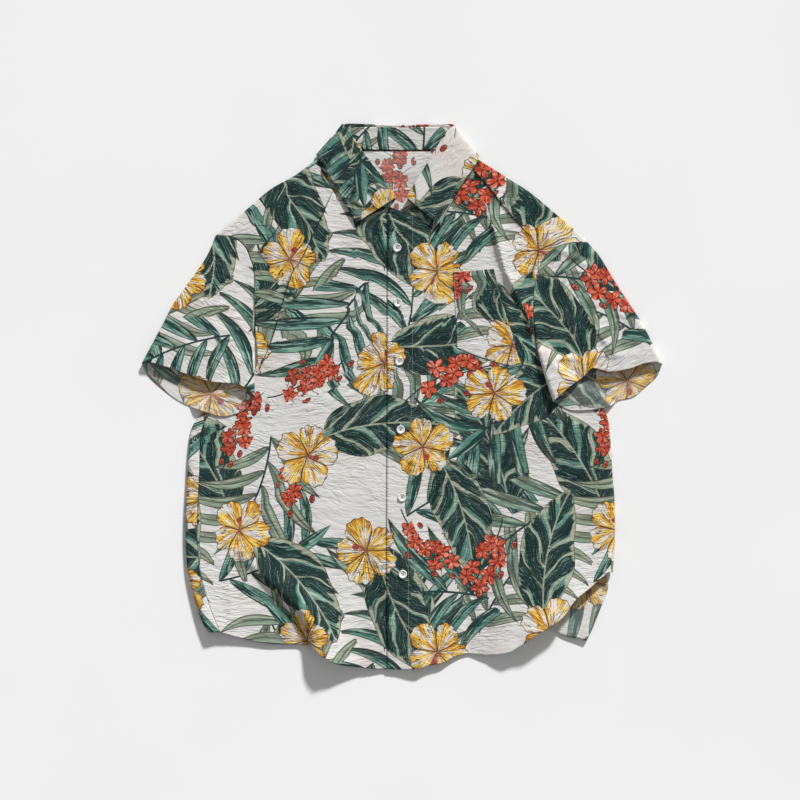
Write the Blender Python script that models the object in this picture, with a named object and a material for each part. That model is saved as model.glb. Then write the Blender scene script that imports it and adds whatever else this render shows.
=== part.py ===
"""Short-sleeved tropical shirt, buttoned and laid face up on a flat surface.

Every cut piece is one closed wall of cloth: a patch between four edge curves, lifted by the
loft of the lying cloth and by its largest folds. Units are metres; the tables hold
centimetres across the surface and millimetres above it. +Y points to the collar, +X to the
wearer's left, and z = 0 is the surface that the back panel lies on.
"""

from math import cos, pi, sin
from typing import NamedTuple

import bmesh
import bpy
import numpy as np

CM = 0.01
MM = 0.001

# Cloth and gaps
WALL = 1.2 * MM            # wall of every body and sleeve panel
COLLAR_WALL = 1.3 * MM     # the collar is two cloths and a lining
SEAM_GAP = 0.3 * MM        # between pieces that are sewn edge to edge
ARMHOLE_GAP = 0.7 * MM     # the armhole's tight curve needs a little more
SIDE_SEAM_GAP = 1.4 * MM   # the left side seam lies under the turned side
LAY_GAP = 0.4 * MM         # between pieces that lie on each other

# Loft of the lying body
BACK_MID = WALL / 2        # height of the back panel's middle surface
LOFT = 4.7 * MM            # middle surface of the fronts, away from folds
SIDE_LOFT = 4.2 * MM       # further loft where the cloth turns round the sides
SIDE_REACH = 3.2 * CM
SIDE_LOFT_Y = (-10.0 * CM, -4.0 * CM)  # full below the first height, none above the second
NECK_LOFT = 2.2 * MM       # the back's neck lies on the collar's folded-under back
NECK_FRONT_LOFT = 1.6 * MM
NECK_BAND_Y = (30.5 * CM, 32.5 * CM)
NECK_BAND_X = (12.5 * CM, 16.0 * CM)
NECK_POINT_X = (8.2 * CM, 9.4 * CM)    # where the shoulder's rounding ends at the neck
SHOULDER_ROUND = 7.0 * MM  # width over which the shoulder edge rounds off
SHOULDER_ROWS = (2.2, 0.9, 0.35, 0.08, 0.0)  # rows of the grid, in shoulder roundings from the edge
SHORTEST_ROW = 50.0 * CM   # hem to shoulder along the shortest column
BACK_CORNER_LIFT = 5.0 * MM            # the back's lower left corner curls up
BACK_CORNER_X = (19.0 * CM, 27.0 * CM)
BACK_CORNER_Y = (-34.0 * CM, -24.0 * CM)
SIDE_LAP = 1.2 * CM        # how far the right side seam lies in from the side
UNDERARM_Y = 3.5 * CM      # below this line the body turns round its sides
SIDE_TURN_Y = -4.0 * CM    # from here down it turns fully
PLACKET_FADE_X = (2.0 * CM, 4.5 * CM)  # the lap's rise dies away past the placket's width
PLACKET_RISE = WALL + LAY_GAP + 0.3 * MM

# How the edges are shared out between their curves
RIGHT_TOP_BREAK = 0.58     # share of a front's top edge that is shoulder
BACK_TOP_BREAKS = [0.36, 0.64]
BACK_CORNER_BREAK = 0.16   # share of the back's left edge that is below the front's corner

# Sleeves
CUFF_LOFT = 11.0 * MM      # between a cuff's two layers
SLEEVE_ROUND = 7.0 * MM
SLEEVE_OVER_BODY = 7.0 * MM  # height of a sleeve's lower layer where it lies on the body
SLEEVE_OVER_X = (-3.2 * CM, -1.2 * CM)  # where it climbs, from the body's side
SLEEVE_OVER_Y = 1.4 * CM     # and over which length it comes down again
RIGHT_REST_Y = 5.6 * CM      # above this a sleeve hangs clear of the body
LEFT_REST_Y = 6.6 * CM
RIGHT_ARMHOLE_END = 8.0      # lower ends of the armhole seams, centimetres along y
LEFT_ARMHOLE_END = 9.0

# Pocket
MOUTH_LOFT = 0.6 * MM        # the pocket's mouth stands off a little

# Buttons
BUTTON_RADIUS = 6.0 * MM
BUTTON_HEIGHT = 2.6 * MM
BUTTON_HOLE_RADIUS = 0.75 * MM
BUTTON_HOLE_PITCH = 1.35 * MM


class Point(NamedTuple):
    """A point of an edge curve: centimetres across the surface."""

    x: float
    y: float


class Fold(NamedTuple):
    """A ridge or trough of cloth from one point to another.

    Lengths are in centimetres and the height in millimetres. The widths are those of the
    flanks to the left and to the right of the line, looking from its start to its end.
    """

    x0: float
    y0: float
    x1: float
    y1: float
    left: float
    right: float
    height: float


class Lift(NamedTuple):
    """How far the front hem stands off the surface: centimetres along x, millimetres up."""

    x: float
    height: float


class Strip(NamedTuple):
    """A section of the collar: its folded edge, its middle height, its free or sewn edge."""

    fold_x: float
    fold_y: float
    fold_mm: float
    middle_mm: float
    edge_x: float
    edge_y: float
    edge_mm: float


# Edges of the body, from the hem up to the shoulder point
RIGHT_SIDE = [Point(*p) for p in (
    (-27.5, -32.9), (-28.8, -29.3), (-30.0, -24.7), (-30.4, -20.3), (-30.4, -16.0),
    (-30.1, -10.2), (-29.7, -4.7), (-28.5, -2.4), (-26.3, -0.3), (-23.3, 1.7), (-21.4, 3.3),
    (-20.4, 4.8), (-20.3, 6.8), (-20.6, 10.6), (-20.7, 17.8), (-21.2, 19.9), (-22.0, 21.7),
    (-23.6, 23.0), (-26.1, 23.4),
)]
LEFT_SIDE = [Point(*p) for p in (
    (30.1, -24.4), (30.4, -20.3), (30.4, -14.5), (30.1, -10.2), (29.7, -4.3), (29.0, -1.7),
    (27.0, 0.3), (24.1, 2.0), (21.6, 3.7), (20.0, 5.4), (19.2, 7.4), (18.9, 11.4),
    (19.0, 15.6), (19.5, 18.2), (20.6, 20.4), (22.3, 21.7), (24.4, 22.3), (26.6, 22.4),
)]
LEFT_BACK_CORNER = [Point(*p) for p in ((26.4, -34.2), (27.1, -32.9), (28.4, -29.7), (29.5, -26.8))]

# Shoulder edges run from the shoulder point to the neck point, neck edges from there on
RIGHT_SHOULDER = [Point(*p) for p in (
    (-26.1, 23.4), (-22.9, 26.0), (-18.6, 29.7), (-14.8, 31.9), (-11.6, 34.2), (-8.4, 35.8),
)]
LEFT_SHOULDER = [Point(*p) for p in (
    (26.6, 22.4), (24.6, 24.3), (22.2, 26.3), (18.6, 29.3), (16.0, 31.0), (11.4, 33.9), (8.2, 35.9),
)]
RIGHT_NECK = [Point(*p) for p in ((-8.4, 35.8), (-7.9, 33.4), (-6.5, 31.0), (-3.6, 28.4), (1.6, 26.2))]
LEFT_NECK = [Point(*p) for p in (
    (8.2, 35.9), (8.0, 33.6), (6.9, 31.2), (4.4, 28.9), (1.6, 27.1), (-1.8, 26.4),
)]
BACK_NECK = [Point(*p) for p in ((-8.4, 35.8), (-6.4, 35.4), (0.0, 35.3), (6.4, 35.4), (8.2, 35.9))]

# Hems, from the wearer's right to the left
BACK_HEM = [Point(*p) for p in (
    (-27.5, -32.9), (-21.3, -33.3), (-12.8, -33.8), (-7.1, -34.4), (0.0, -34.8), (7.1, -34.6),
    (14.2, -34.0), (18.5, -33.3), (21.2, -32.7), (23.0, -33.4), (25.3, -33.9), (26.4, -34.2),
)]
RIGHT_HEM = [Point(*p) for p in (
    (-27.5, -32.9), (-23.9, -33.1), (-21.3, -34.1), (-18.0, -34.6), (-13.1, -34.8),
    (-11.6, -35.8), (-9.1, -37.3), (-6.5, -37.8), (-4.1, -38.1), (-1.6, -38.2), (1.6, -38.1),
)]
LEFT_HEM = [Point(*p) for p in (
    (-1.8, -38.1), (0.0, -38.2), (2.6, -38.1), (4.3, -37.6), (6.1, -37.3), (7.4, -36.6),
    (8.9, -36.1), (10.6, -36.1), (12.6, -36.2), (15.1, -35.9), (16.9, -34.9), (18.9, -33.5),
    (21.0, -32.2), (23.0, -30.8), (24.7, -28.4), (27.0, -26.5), (30.1, -24.4),
)]
HEM_LIFT_REACH = 6.5 * CM
HEM_LIFTS = [Lift(*r) for r in (
    (-30.0, 6.0), (-27.5, 7.0), (-21.0, 1.0), (-14.5, 0.0), (-12.4, 4.0), (-10.4, 17.0), (-8.6, 15.0),
    (-5.5, 4.0), (-2.5, 0.0), (0.0, 1.0), (3.0, 6.0), (6.5, 3.0), (9.9, -2.0), (12.6, 3.0),
    (15.6, 13.0), (18.9, 19.0), (23.0, 20.0), (26.0, 15.0), (30.4, 5.0),
)]

# The largest folds of the fronts
FOLDS = [Fold(*r) for r in (
    (-21.7, -23.5, -9.1, -38.5, 2.0, 1.0, 7.0),
    (-8.0, 31.0, -13.8, 19.9, 0.9, 0.7, 3.0),
    (-13.8, 20.4, -19.2, 6.0, 0.8, 1.1, 3.0),
    (-16.2, 26.0, -20.4, 20.4, 1.2, 0.6, 2.2),
    (11.8, 29.4, 15.0, 18.0, 1.3, 1.1, 4.5),
    (14.4, 20.6, 18.9, 8.4, 1.3, 1.1, 5.5),
    (10.0, 33.0, 19.0, 23.0, 1.3, 1.1, 3.0),
    (16.6, -35.4, 27.6, -26.0, 1.6, 1.6, 5.0),
    (20.0, -5.0, 28.0, -13.0, 1.8, 1.4, 2.0),
)]

# Sleeves: the outer edge runs from the shoulder point, each cuff edge from the outer fold
RIGHT_SLEEVE_OUTER = [Point(*p) for p in (
    (-26.1, 23.4), (-27.5, 20.2), (-30.5, 15.9), (-32.2, 13.5), (-33.7, 10.6), (-35.2, 7.8), (-36.6, 5.2),
)]
RIGHT_SLEEVE_INNER = [Point(*p) for p in ((-20.6, 10.6), (-20.65, 6.8), (-20.65, 4.4), (-20.6, 0.6))]
RIGHT_CUFF_FRONT = [Point(*p) for p in (
    (-36.6, 5.2), (-35.4, 5.3), (-32.5, 4.5), (-29.8, 3.5), (-26.8, 2.6), (-23.3, 2.3),
    (-21.7, 1.6), (-20.6, 0.6),
)]
RIGHT_CUFF_BACK = [Point(*p) for p in (
    (-36.6, 5.2), (-35.8, 3.5), (-33.8, 1.6), (-31.2, -0.3), (-28.0, -1.6), (-25.6, -2.3),
    (-23.7, -2.1), (-21.9, -1.3), (-20.6, 0.6),
)]
LEFT_SLEEVE_OUTER = [Point(*p) for p in (
    (26.6, 22.4), (28.4, 20.2), (30.4, 16.9), (32.2, 14.1), (34.1, 11.2), (35.9, 7.8), (37.2, 5.1),
)]
LEFT_SLEEVE_INNER = [Point(*p) for p in (
    (18.9, 11.4), (19.35, 8.0), (19.9, 5.6), (20.7, 2.8), (21.7, -0.2),
)]
LEFT_CUFF_FRONT = [Point(*p) for p in (
    (37.2, 5.1), (36.2, 5.4), (34.4, 5.1), (32.4, 4.4), (29.8, 4.0), (27.3, 4.5), (26.1, 3.4),
    (23.4, 1.4), (21.7, -0.2),
)]
LEFT_CUFF_BACK = [Point(*p) for p in (
    (37.2, 5.1), (36.5, 3.4), (34.8, 1.8), (33.1, 0.4), (31.1, -0.1), (29.7, -0.9), (27.1, -1.4),
    (24.1, -1.4), (21.7, -0.2),
)]
LEFT_SLEEVE_FOLDS = [Fold(*r) for r in (
    (21.5, 22.0, 27.2, 18.4, 0.8, 0.8, 4.0),
    (22.5, 15.5, 28.4, 19.0, 0.7, 0.7, 3.0),
    (28.4, 13.6, 33.0, 4.5, 0.7, 0.7, 3.0),
    (19.8, 4.8, 27.0, 5.2, 0.8, 1.0, 4.0),
)]
RIGHT_SLEEVE_FOLDS = [Fold(*r) for r in (
    (-24.5, 21.0, -31.0, 8.0, 1.2, 1.2, 2.2),
    (-21.6, 14.0, -24.5, 3.0, 0.9, 0.9, 2.0),
)]

# The turned-down leaf of the collar and its stand, from the right front round the back
LEAF = [Strip(*r) for r in (
    (-0.5, 28.7, 13.5, 12.4, -6.2, 25.1, 9.5),
    (-1.7, 30.5, 14.0, 12.6, -7.5, 27.3, 9.2),
    (-4.3, 33.9, 14.0, 12.8, -9.3, 30.6, 9.4),
    (-6.2, 36.6, 13.0, 12.2, -11.2, 33.6, 9.6),
    (-7.3, 38.2, 12.0, 11.4, -12.2, 35.0, 7.6),
    (-8.1, 39.0, 10.5, 8.6, -12.5, 35.5, 3.6),
    (-8.1, 39.3, 7.5, 3.4, -11.4, 34.8, 1.0),
    (-6.9, 39.2, 5.6, 1.0, -9.2, 33.7, 0.7),
    (-3.6, 39.1, 5.4, 0.8, -4.9, 33.2, 0.7),
    (0.0, 39.0, 5.4, 0.8, 0.0, 33.1, 0.7),
    (3.6, 39.1, 5.4, 0.8, 4.9, 33.2, 0.7),
    (6.4, 39.2, 5.6, 1.0, 8.6, 33.7, 0.7),
    (7.5, 39.3, 7.5, 3.4, 10.8, 34.6, 1.0),
    (7.6, 39.0, 10.5, 8.6, 11.9, 35.3, 3.6),
    (6.8, 38.2, 12.0, 11.4, 11.6, 34.8, 7.6),
    (5.8, 36.8, 13.0, 12.2, 10.6, 33.2, 9.6),
    (4.1, 34.0, 14.0, 12.8, 8.8, 30.6, 9.6),
    (2.0, 30.6, 14.0, 12.6, 6.9, 27.2, 9.2),
    (0.9, 28.7, 13.5, 12.4, 5.7, 24.6, 9.5),
)]
STAND = [Strip(*r) for r in (
    (-0.6, 28.4, 11.0, 10.2, -1.6, 27.1, 9.0),
    (-1.9, 30.0, 11.8, 9.8, -4.0, 28.4, 7.2),
    (-4.4, 33.4, 12.0, 9.6, -6.6, 31.6, 6.8),
    (-6.2, 36.1, 11.2, 9.2, -7.8, 34.2, 6.8),
    (-7.2, 37.9, 10.0, 8.4, -8.0, 35.8, 6.2),
    (-6.6, 38.6, 8.8, 7.2, -6.6, 35.6, 5.0),
    (-3.6, 38.7, 8.4, 6.6, -3.6, 35.5, 4.2),
    (0.0, 38.6, 8.2, 6.6, 0.0, 35.5, 4.2),
    (3.6, 38.7, 8.4, 6.6, 3.6, 35.5, 4.2),
    (6.2, 38.6, 8.8, 7.2, 6.2, 35.6, 5.0),
    (6.7, 37.9, 10.0, 8.4, 7.7, 35.9, 6.2),
    (5.8, 36.3, 11.2, 9.2, 7.6, 34.4, 6.8),
    (4.3, 33.5, 12.0, 9.6, 6.7, 31.8, 6.8),
    (2.2, 30.2, 11.8, 9.8, 4.4, 29.1, 7.2),
    (1.0, 28.4, 11.0, 10.2, 2.0, 27.6, 9.0),
)]

# The pocket and the buttons on the left front
POCKET_TOP = [Point(*p) for p in ((7.5, 18.1), (10.4, 18.35), (13.3, 18.6))]
POCKET_BOTTOM = [Point(*p) for p in ((8.1, 7.4), (11.1, 6.2), (15.3, 4.9), (17.0, 5.2))]
POCKET_INNER = [Point(*p) for p in ((8.1, 7.4), (7.9, 12.0), (7.5, 18.1))]
POCKET_OUTER = [Point(*p) for p in ((17.0, 5.2), (15.8, 9.6), (14.4, 14.2), (13.3, 18.6))]
BUTTONS = [Point(*p) for p in (
    (-0.4, 21.6), (-0.3, 13.8), (-0.1, 5.5), (0.1, -4.2), (0.3, -13.8), (0.4, -24.7),
)]


class Material(NamedTuple):
    """A plain finish: name, colour, roughness and metallic value."""

    name: str
    colour: tuple
    roughness: float
    metallic: float = 0.0


CLOTH_FRONT = Material("printed_cotton_front", (0.60, 0.62, 0.50, 1.0), 0.85)
CLOTH_BACK = Material("printed_cotton_back", (0.42, 0.50, 0.44, 1.0), 0.88)
CLOTH_COLLAR = Material("printed_cotton_collar", (0.50, 0.56, 0.46, 1.0), 0.85)
SHELL_BUTTON = Material("white_shell_button", (0.90, 0.89, 0.85, 1.0), 0.30)


# Curves and patches

def smoothstep(low, high, value):
    """0 below low, 1 above high, and a soft S between them."""
    share = np.clip((value - low) / (high - low), 0.0, 1.0)
    return share * share * (3.0 - 2.0 * share)


class Curve:
    """A smooth curve through a table's points, read by its share of the length."""

    def __init__(self, points, samples=24):
        knots = np.array(points, float) * CM
        ends = np.vstack([2 * knots[0] - knots[1], knots, 2 * knots[-1] - knots[-2]])
        steps = np.linspace(0.0, 1.0, samples, endpoint=False)[:, None]
        runs = []
        for a, b, c, d in zip(ends, ends[1:], ends[2:], ends[3:]):
            runs.append(0.5 * (2 * b + (c - a) * steps + (2 * a - 5 * b + 4 * c - d) * steps ** 2
                               + (3 * b - a - 3 * c + d) * steps ** 3))
        self.points = np.vstack(runs + [knots[-1:]])
        lengths = np.hypot(*np.diff(self.points, axis=0).T[:2])
        self.share = np.concatenate([[0.0], np.cumsum(lengths)]) / lengths.sum()

    def at(self, share):
        """Points at these shares of the length, one row each."""
        return np.stack([np.interp(share, self.share, axis) for axis in self.points.T], axis=-1)


class Chain:
    """Several curves end to end, each over its own stretch of the share."""

    def __init__(self, curves, breaks):
        self.curves = curves
        self.breaks = breaks

    def at(self, share):
        share = np.asarray(share, float)
        found = self.curves[0].at(np.clip(share / self.breaks[0], 0, 1))
        for curve, low, high in zip(self.curves[1:], self.breaks, self.breaks[1:] + [1.0]):
            beyond = curve.at(np.clip((share - low) / (high - low), 0, 1))
            found = np.where((share > low)[..., None], beyond, found)
        return found


def coons(bottom, top, left, right, u, v):
    """The patch between four edge curves, at u across and v up."""
    u_, v_ = u[..., None], v[..., None]
    zero, one = np.zeros_like(u), np.ones_like(u)
    corners = ((1 - u_) * (1 - v_) * bottom.at(zero) + u_ * (1 - v_) * bottom.at(one)
               + (1 - u_) * v_ * top.at(zero) + u_ * v_ * top.at(one))
    return ((1 - v_) * bottom.at(u) + v_ * top.at(u) + (1 - u_) * left.at(v) + u_ * right.at(v)
            - corners)


def side_x(side, y):
    """The x of a side edge at a height y, in metres."""
    points = np.array(side) * CM
    return np.interp(y, points[:, 1], points[:, 0])


# Heights of the lying cloth

def fold_height(folds, x, y):
    """The sum of the folds at these points."""
    total = np.zeros_like(x)
    for fold in folds:
        start = np.array((fold.x0, fold.y0)) * CM
        run = np.array((fold.x1, fold.y1)) * CM - start
        length = np.hypot(*run)
        along = ((x - start[0]) * run[0] + (y - start[1]) * run[1]) / length
        off = ((y - start[1]) * run[0] - (x - start[0]) * run[1]) / length
        width = np.where(off > 0, fold.left, fold.right) * CM
        fade = smoothstep(0, 0.3 * length, along) * smoothstep(0, 0.3 * length, length - along)
        total += fold.height * MM * np.exp(-(off / width) ** 2) * fade
    return total


def turn(y):
    """1 where the body turns round its sides, 0 along the armholes."""
    return 1.0 - smoothstep(SIDE_TURN_Y, UNDERARM_Y, y)


def hem_lift(x, y):
    """How far a lifted hem raises the front above it."""
    lifts = np.array(HEM_LIFTS)
    height = np.interp(x, lifts[:, 0] * CM, lifts[:, 1] * MM)
    hem = np.array(RIGHT_HEM + LEFT_HEM[1:]) * CM
    order = np.argsort(hem[:, 0])
    above = y - np.interp(x, hem[order, 0], hem[order, 1])
    return height * np.exp(-np.clip(above, 0, None) / HEM_LIFT_REACH)


def neck_rise(x, y):
    """1 over the collar's folded-under back, 0 away from it."""
    return smoothstep(*NECK_BAND_Y, y) * (1 - smoothstep(*NECK_BAND_X, np.abs(x)))


def back_height(x, y):
    """Middle surface of the back panel."""
    corner = BACK_CORNER_LIFT * smoothstep(*BACK_CORNER_X, x) * (1 - smoothstep(*BACK_CORNER_Y, y))
    return BACK_MID + NECK_LOFT * neck_rise(x, y) + corner


def front_height(x, y):
    """Middle surface of the fronts, before the placket's rise."""
    to_side = np.minimum(x - side_x(RIGHT_SIDE, y), side_x(LEFT_SIDE, y) - x)
    side = SIDE_LOFT * np.exp(-(to_side / SIDE_REACH) ** 2) * (1 - smoothstep(*SIDE_LOFT_Y, y))
    neck = NECK_FRONT_LOFT * neck_rise(x, y)
    height = LOFT + side + neck + hem_lift(x, y) + fold_height(FOLDS, x, y)
    return np.maximum(height, back_height(x, y) + WALL + LAY_GAP)


def placket_rise(x):
    """The left front's rise over the right front that it laps."""
    return PLACKET_RISE * (1 - smoothstep(*PLACKET_FADE_X, x))


def rounded(distance, reach):
    """Quarter-round profile: 0 at the edge, 1 from reach inwards."""
    share = np.clip(distance / reach, 0.0, 1.0)
    return np.sqrt(1 - (1 - share) ** 2)


# Panels of the body

def tangent_side(side, direction):
    """A side edge moved in to where the cloth starts to turn."""
    points = []
    for point in side:
        x, y = point[0] * CM, point[1] * CM
        radius = side_radius(x, y) * float(turn(y))
        points.append((point[0] - direction * radius / CM, point[1]))
    return points


def side_radius(x, y):
    """Radius of the turned side, half the height between the layers."""
    x, y = np.asarray(x, float), np.asarray(y, float)
    return 0.5 * (front_height(x, y) - back_height(x, y))


def top_rounding(x, y, distance):
    """0 at the shoulder edge, 1 inside it and all along the neck."""
    neck = 1 - smoothstep(*NECK_POINT_X, np.abs(x))
    return np.maximum(rounded(distance, SHOULDER_ROUND), neck)


class Panel:
    """A flat patch of the body with its four edge curves."""

    def __init__(self, bottom, top, left, right):
        self.edges = (bottom, top, left, right)
        self.left, self.right = left, right

    def at(self, u, v):
        """Plan position at u across and v up."""
        found = coons(*self.edges, u, v)
        return found[..., 0], found[..., 1]

    def width(self, v):
        """Length of the row at v."""
        return np.hypot(*(self.right.at(v) - self.left.at(v)).T).T

    def from_top(self, u, v):
        """Distance down from the top edge."""
        bottom, top = self.edges[0].at(u), self.edges[1].at(u)
        return (1 - v) * np.hypot(*np.moveaxis(top - bottom, -1, 0))


def reverse(points):
    return list(reversed(points))


def right_front_panel():
    seam = [(x + (SIDE_LAP / CM * turn(y * CM)) + SEAM_GAP / CM, y)
            for x, y in tangent_side(RIGHT_SIDE, -1)]
    top = Chain([Curve(RIGHT_SHOULDER), Curve(RIGHT_NECK)], [RIGHT_TOP_BREAK])
    return Panel(Curve([seam[0]] + RIGHT_HEM[2:]), top, Curve(seam),
                 Curve([RIGHT_HEM[-1], (1.6, -6.0), RIGHT_NECK[-1]]))


def left_front_panel():
    turned = tangent_side(LEFT_SIDE, 1)
    top = Chain([Curve(reverse(LEFT_NECK)), Curve(reverse(LEFT_SHOULDER))], [1 - RIGHT_TOP_BREAK])
    edge = Curve([LEFT_HEM[0], (-1.9, -20.0), (-1.8, 0.0), LEFT_NECK[-1]])
    return Panel(Curve(LEFT_HEM[:-1] + [turned[0]]), top, edge, Curve(turned))


def back_panel():
    right = tangent_side(RIGHT_SIDE, -1)
    side = [(x - SIDE_SEAM_GAP / CM, y) for x, y in tangent_side(LEFT_SIDE, 1)]
    left = Chain([Curve(LEFT_BACK_CORNER + side[:1]), Curve(side)], [BACK_CORNER_BREAK])
    top = Chain([Curve(RIGHT_SHOULDER), Curve(BACK_NECK), Curve(reverse(LEFT_SHOULDER))],
                BACK_TOP_BREAKS)
    return Panel(Curve(BACK_HEM), top, Curve(right), left)


def right_front_surface(u, v):
    """Wearer's right front: a flat patch that runs on under the placket."""
    panel = right_front_panel()
    x, y = panel.at(u, v)
    height, low = front_height(x, y), back_height(x, y)
    middle = 0.5 * (height + low) + 0.5 * (WALL + SEAM_GAP)
    return x, y, middle + (height - middle) * top_rounding(x, y, panel.from_top(u, v))


def left_front_surface(u, v):
    """Wearer's left front: the placket edge first, the turned side last."""
    panel = left_front_panel()
    side = panel.right.at(v)
    radius = side_radius(side[..., 0], side[..., 1])
    turned = turn(side[..., 1])
    width, arc = panel.width(v), pi * radius * turned
    run = u * (width + arc)
    x, y = panel.at(np.clip(run / width, 0, 1), v)
    height, low = front_height(x, y), back_height(x, y)
    height = height + placket_rise(x)
    middle = 0.5 * (height + low) + 0.5 * (WALL + SEAM_GAP)
    top = middle + (height - middle) * top_rounding(x, y, panel.from_top(u, v))
    angle = np.clip(run - width, 0, None) / radius
    return x + radius * np.sin(angle), y, top - radius * (1 - np.cos(angle))


def back_surface(u, v):
    """Back: its right edge laps over the right side, then it runs flat to the left."""
    panel = back_panel()
    side = panel.left.at(v)
    radius = side_radius(side[..., 0], side[..., 1])
    turned = turn(side[..., 1])
    lap = SIDE_LAP * smoothstep(0.8, 1.0, turned)
    width, arc = panel.width(v), pi * radius * turned
    run = u * (width + arc + lap) - arc - lap
    x, y = panel.at(np.clip(run / width, 0, 1), v)
    height, low = front_height(x, y), back_height(x, y)
    middle = 0.5 * (height + low) - 0.5 * (WALL + SEAM_GAP)
    flat = middle + (low - middle) * top_rounding(x, y, panel.from_top(u, v))
    angle = np.clip(-run, 0, arc) / radius
    over = np.clip(-run - arc, 0, None)
    x = x - radius * np.sin(angle) + over
    return x, y, np.where(over > 0, front_height(x, y), flat + radius * (1 - np.cos(angle)))


# Sleeves

class Sleeve:
    """A flattened tube from the armhole to the cuff, its two layers meeting at the folds."""

    def __init__(self, side, rest_y, armhole, outer, inner, cuff_front, cuff_back, folds):
        self.side, self.rest_y, self.folds = side, rest_y, folds
        outer, inner = Curve(armhole[:1] + outer[1:]), Curve(armhole[-1:] + inner[1:])
        self.front = (Curve(armhole), Curve(cuff_front), outer, inner)
        self.back = (Curve(armhole), Curve(cuff_back), outer, inner)

    def over_body(self, x, y):
        """1 where the sleeve lies on the body, 0 clear of it."""
        out = np.sign(self.side[0][0])
        near = smoothstep(*SLEEVE_OVER_X, out * (side_x(self.side, y) - x))
        return near * (1 - smoothstep(self.rest_y, self.rest_y + SLEEVE_OVER_Y, y))

    def surface(self, ring, along):
        """ring runs 0 to 1 over the front from the outer fold, then 1 to 2 back below."""
        below = ring > 1
        across = np.where(below, 2 - ring, ring)
        across = 0.5 * (1 - np.cos(pi * across))
        front = coons(*self.front, across, along)
        back = coons(*self.back, across, along)
        plan = np.where(below[..., None], back, front)
        x, y = plan[..., 0], plan[..., 1]
        low = BACK_MID + SLEEVE_OVER_BODY * self.over_body(x, y)
        start = front_height(x, y) - back_height(x, y)
        loft = start + (CUFF_LOFT - start) * smoothstep(0.0, 1.0, along)
        width = np.hypot(*np.moveaxis(self.front[2].at(along) - self.front[3].at(along), -1, 0))
        inset = np.minimum(across, 1 - across) * width
        round_off = rounded(inset, SLEEVE_ROUND)
        half = 0.5 * loft * round_off
        middle = low + 0.5 * loft
        crease = fold_height(self.folds, x, y) * round_off
        return x, y, np.where(below, middle - half, middle + half + crease)


def armhole_edge(side, end_y, direction):
    """The armhole, from the shoulder point down to its end, moved out by the seam's gap."""
    upper = np.array([point for point in reverse(side) if point[1] > end_y])
    along = np.gradient(upper, axis=0)
    along /= np.hypot(*along.T)[:, None]
    outward = direction * np.stack([-along[:, 1], along[:, 0]], axis=-1)
    return [tuple(point) for point in upper + outward * ARMHOLE_GAP / CM]


def right_sleeve():
    armhole = armhole_edge(RIGHT_SIDE, RIGHT_ARMHOLE_END, -1)
    return Sleeve(RIGHT_SIDE, RIGHT_REST_Y, armhole, RIGHT_SLEEVE_OUTER, RIGHT_SLEEVE_INNER,
                  RIGHT_CUFF_FRONT, RIGHT_CUFF_BACK, RIGHT_SLEEVE_FOLDS)


def left_sleeve():
    armhole = armhole_edge(LEFT_SIDE, LEFT_ARMHOLE_END, 1)
    return Sleeve(LEFT_SIDE, LEFT_REST_Y, armhole, LEFT_SLEEVE_OUTER, LEFT_SLEEVE_INNER,
                  LEFT_CUFF_FRONT, LEFT_CUFF_BACK, LEFT_SLEEVE_FOLDS)


# Collar, pocket and buttons

class Sections:
    """A strip's sections in order, read by their share of the number of rows."""

    def __init__(self, rows):
        self.rows = np.array(rows)
        self.share = np.linspace(0, 1, len(rows))

    def column(self, name, share):
        """One named column at these shares, in metres."""
        unit = MM if name.endswith("_mm") else CM
        return np.interp(share, self.share, self.rows[:, Strip._fields.index(name)]) * unit


def strip_surface(rows):
    """A strip from its folded edge to its free edge, through its middle height."""
    sections = Sections(rows)

    def surface(u, v):
        x = sections.column("fold_x", u) * (1 - v) + sections.column("edge_x", u) * v
        y = sections.column("fold_y", u) * (1 - v) + sections.column("edge_y", u) * v
        fold, middle, edge = (sections.column(name, u) for name in ("fold_mm", "middle_mm", "edge_mm"))
        inner = middle + (fold - middle) * np.clip(1 - 2 * v, 0, 1) ** 1.5
        return x, y, np.where(v < 0.5, inner, middle + (edge - middle) * (2 * v - 1))
    return surface


def left_front_at(x, y):
    """Height of the left front's middle surface over a plan point."""
    return front_height(x, y) + placket_rise(x)


def pocket_surface(u, v):
    """The patch pocket: the left front's own form, moved out by a wall."""
    found = coons(Curve(POCKET_BOTTOM), Curve(POCKET_TOP), Curve(POCKET_INNER),
                  Curve(POCKET_OUTER), u, v)
    x, y = found[..., 0], found[..., 1]
    mouth = MOUTH_LOFT * np.sin(pi * u) * smoothstep(0.8, 1.0, v)
    return x, y, left_front_at(x, y) + WALL + LAY_GAP + mouth


# Building

def clear_scene():
    for obj in list(bpy.data.objects):
        bpy.data.objects.remove(obj, do_unlink=True)


def make_material(finish):
    material = bpy.data.materials.new(finish.name)
    material.use_nodes = True
    shader = material.node_tree.nodes["Principled BSDF"]
    shader.inputs["Base Color"].default_value = finish.colour
    shader.inputs["Roughness"].default_value = finish.roughness
    shader.inputs["Metallic"].default_value = finish.metallic
    return material


def link_object(name, mesh, finish):
    mesh.materials.append(make_material(finish))
    obj = bpy.data.objects.new(name, mesh)
    bpy.context.scene.collection.objects.link(obj)
    return obj


def eased(count, near_end):
    """Shares from 0 to 1, closer together towards the end by this power."""
    share = np.linspace(0.0, 1.0, count)
    return 1 - (1 - share) ** near_end


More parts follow.
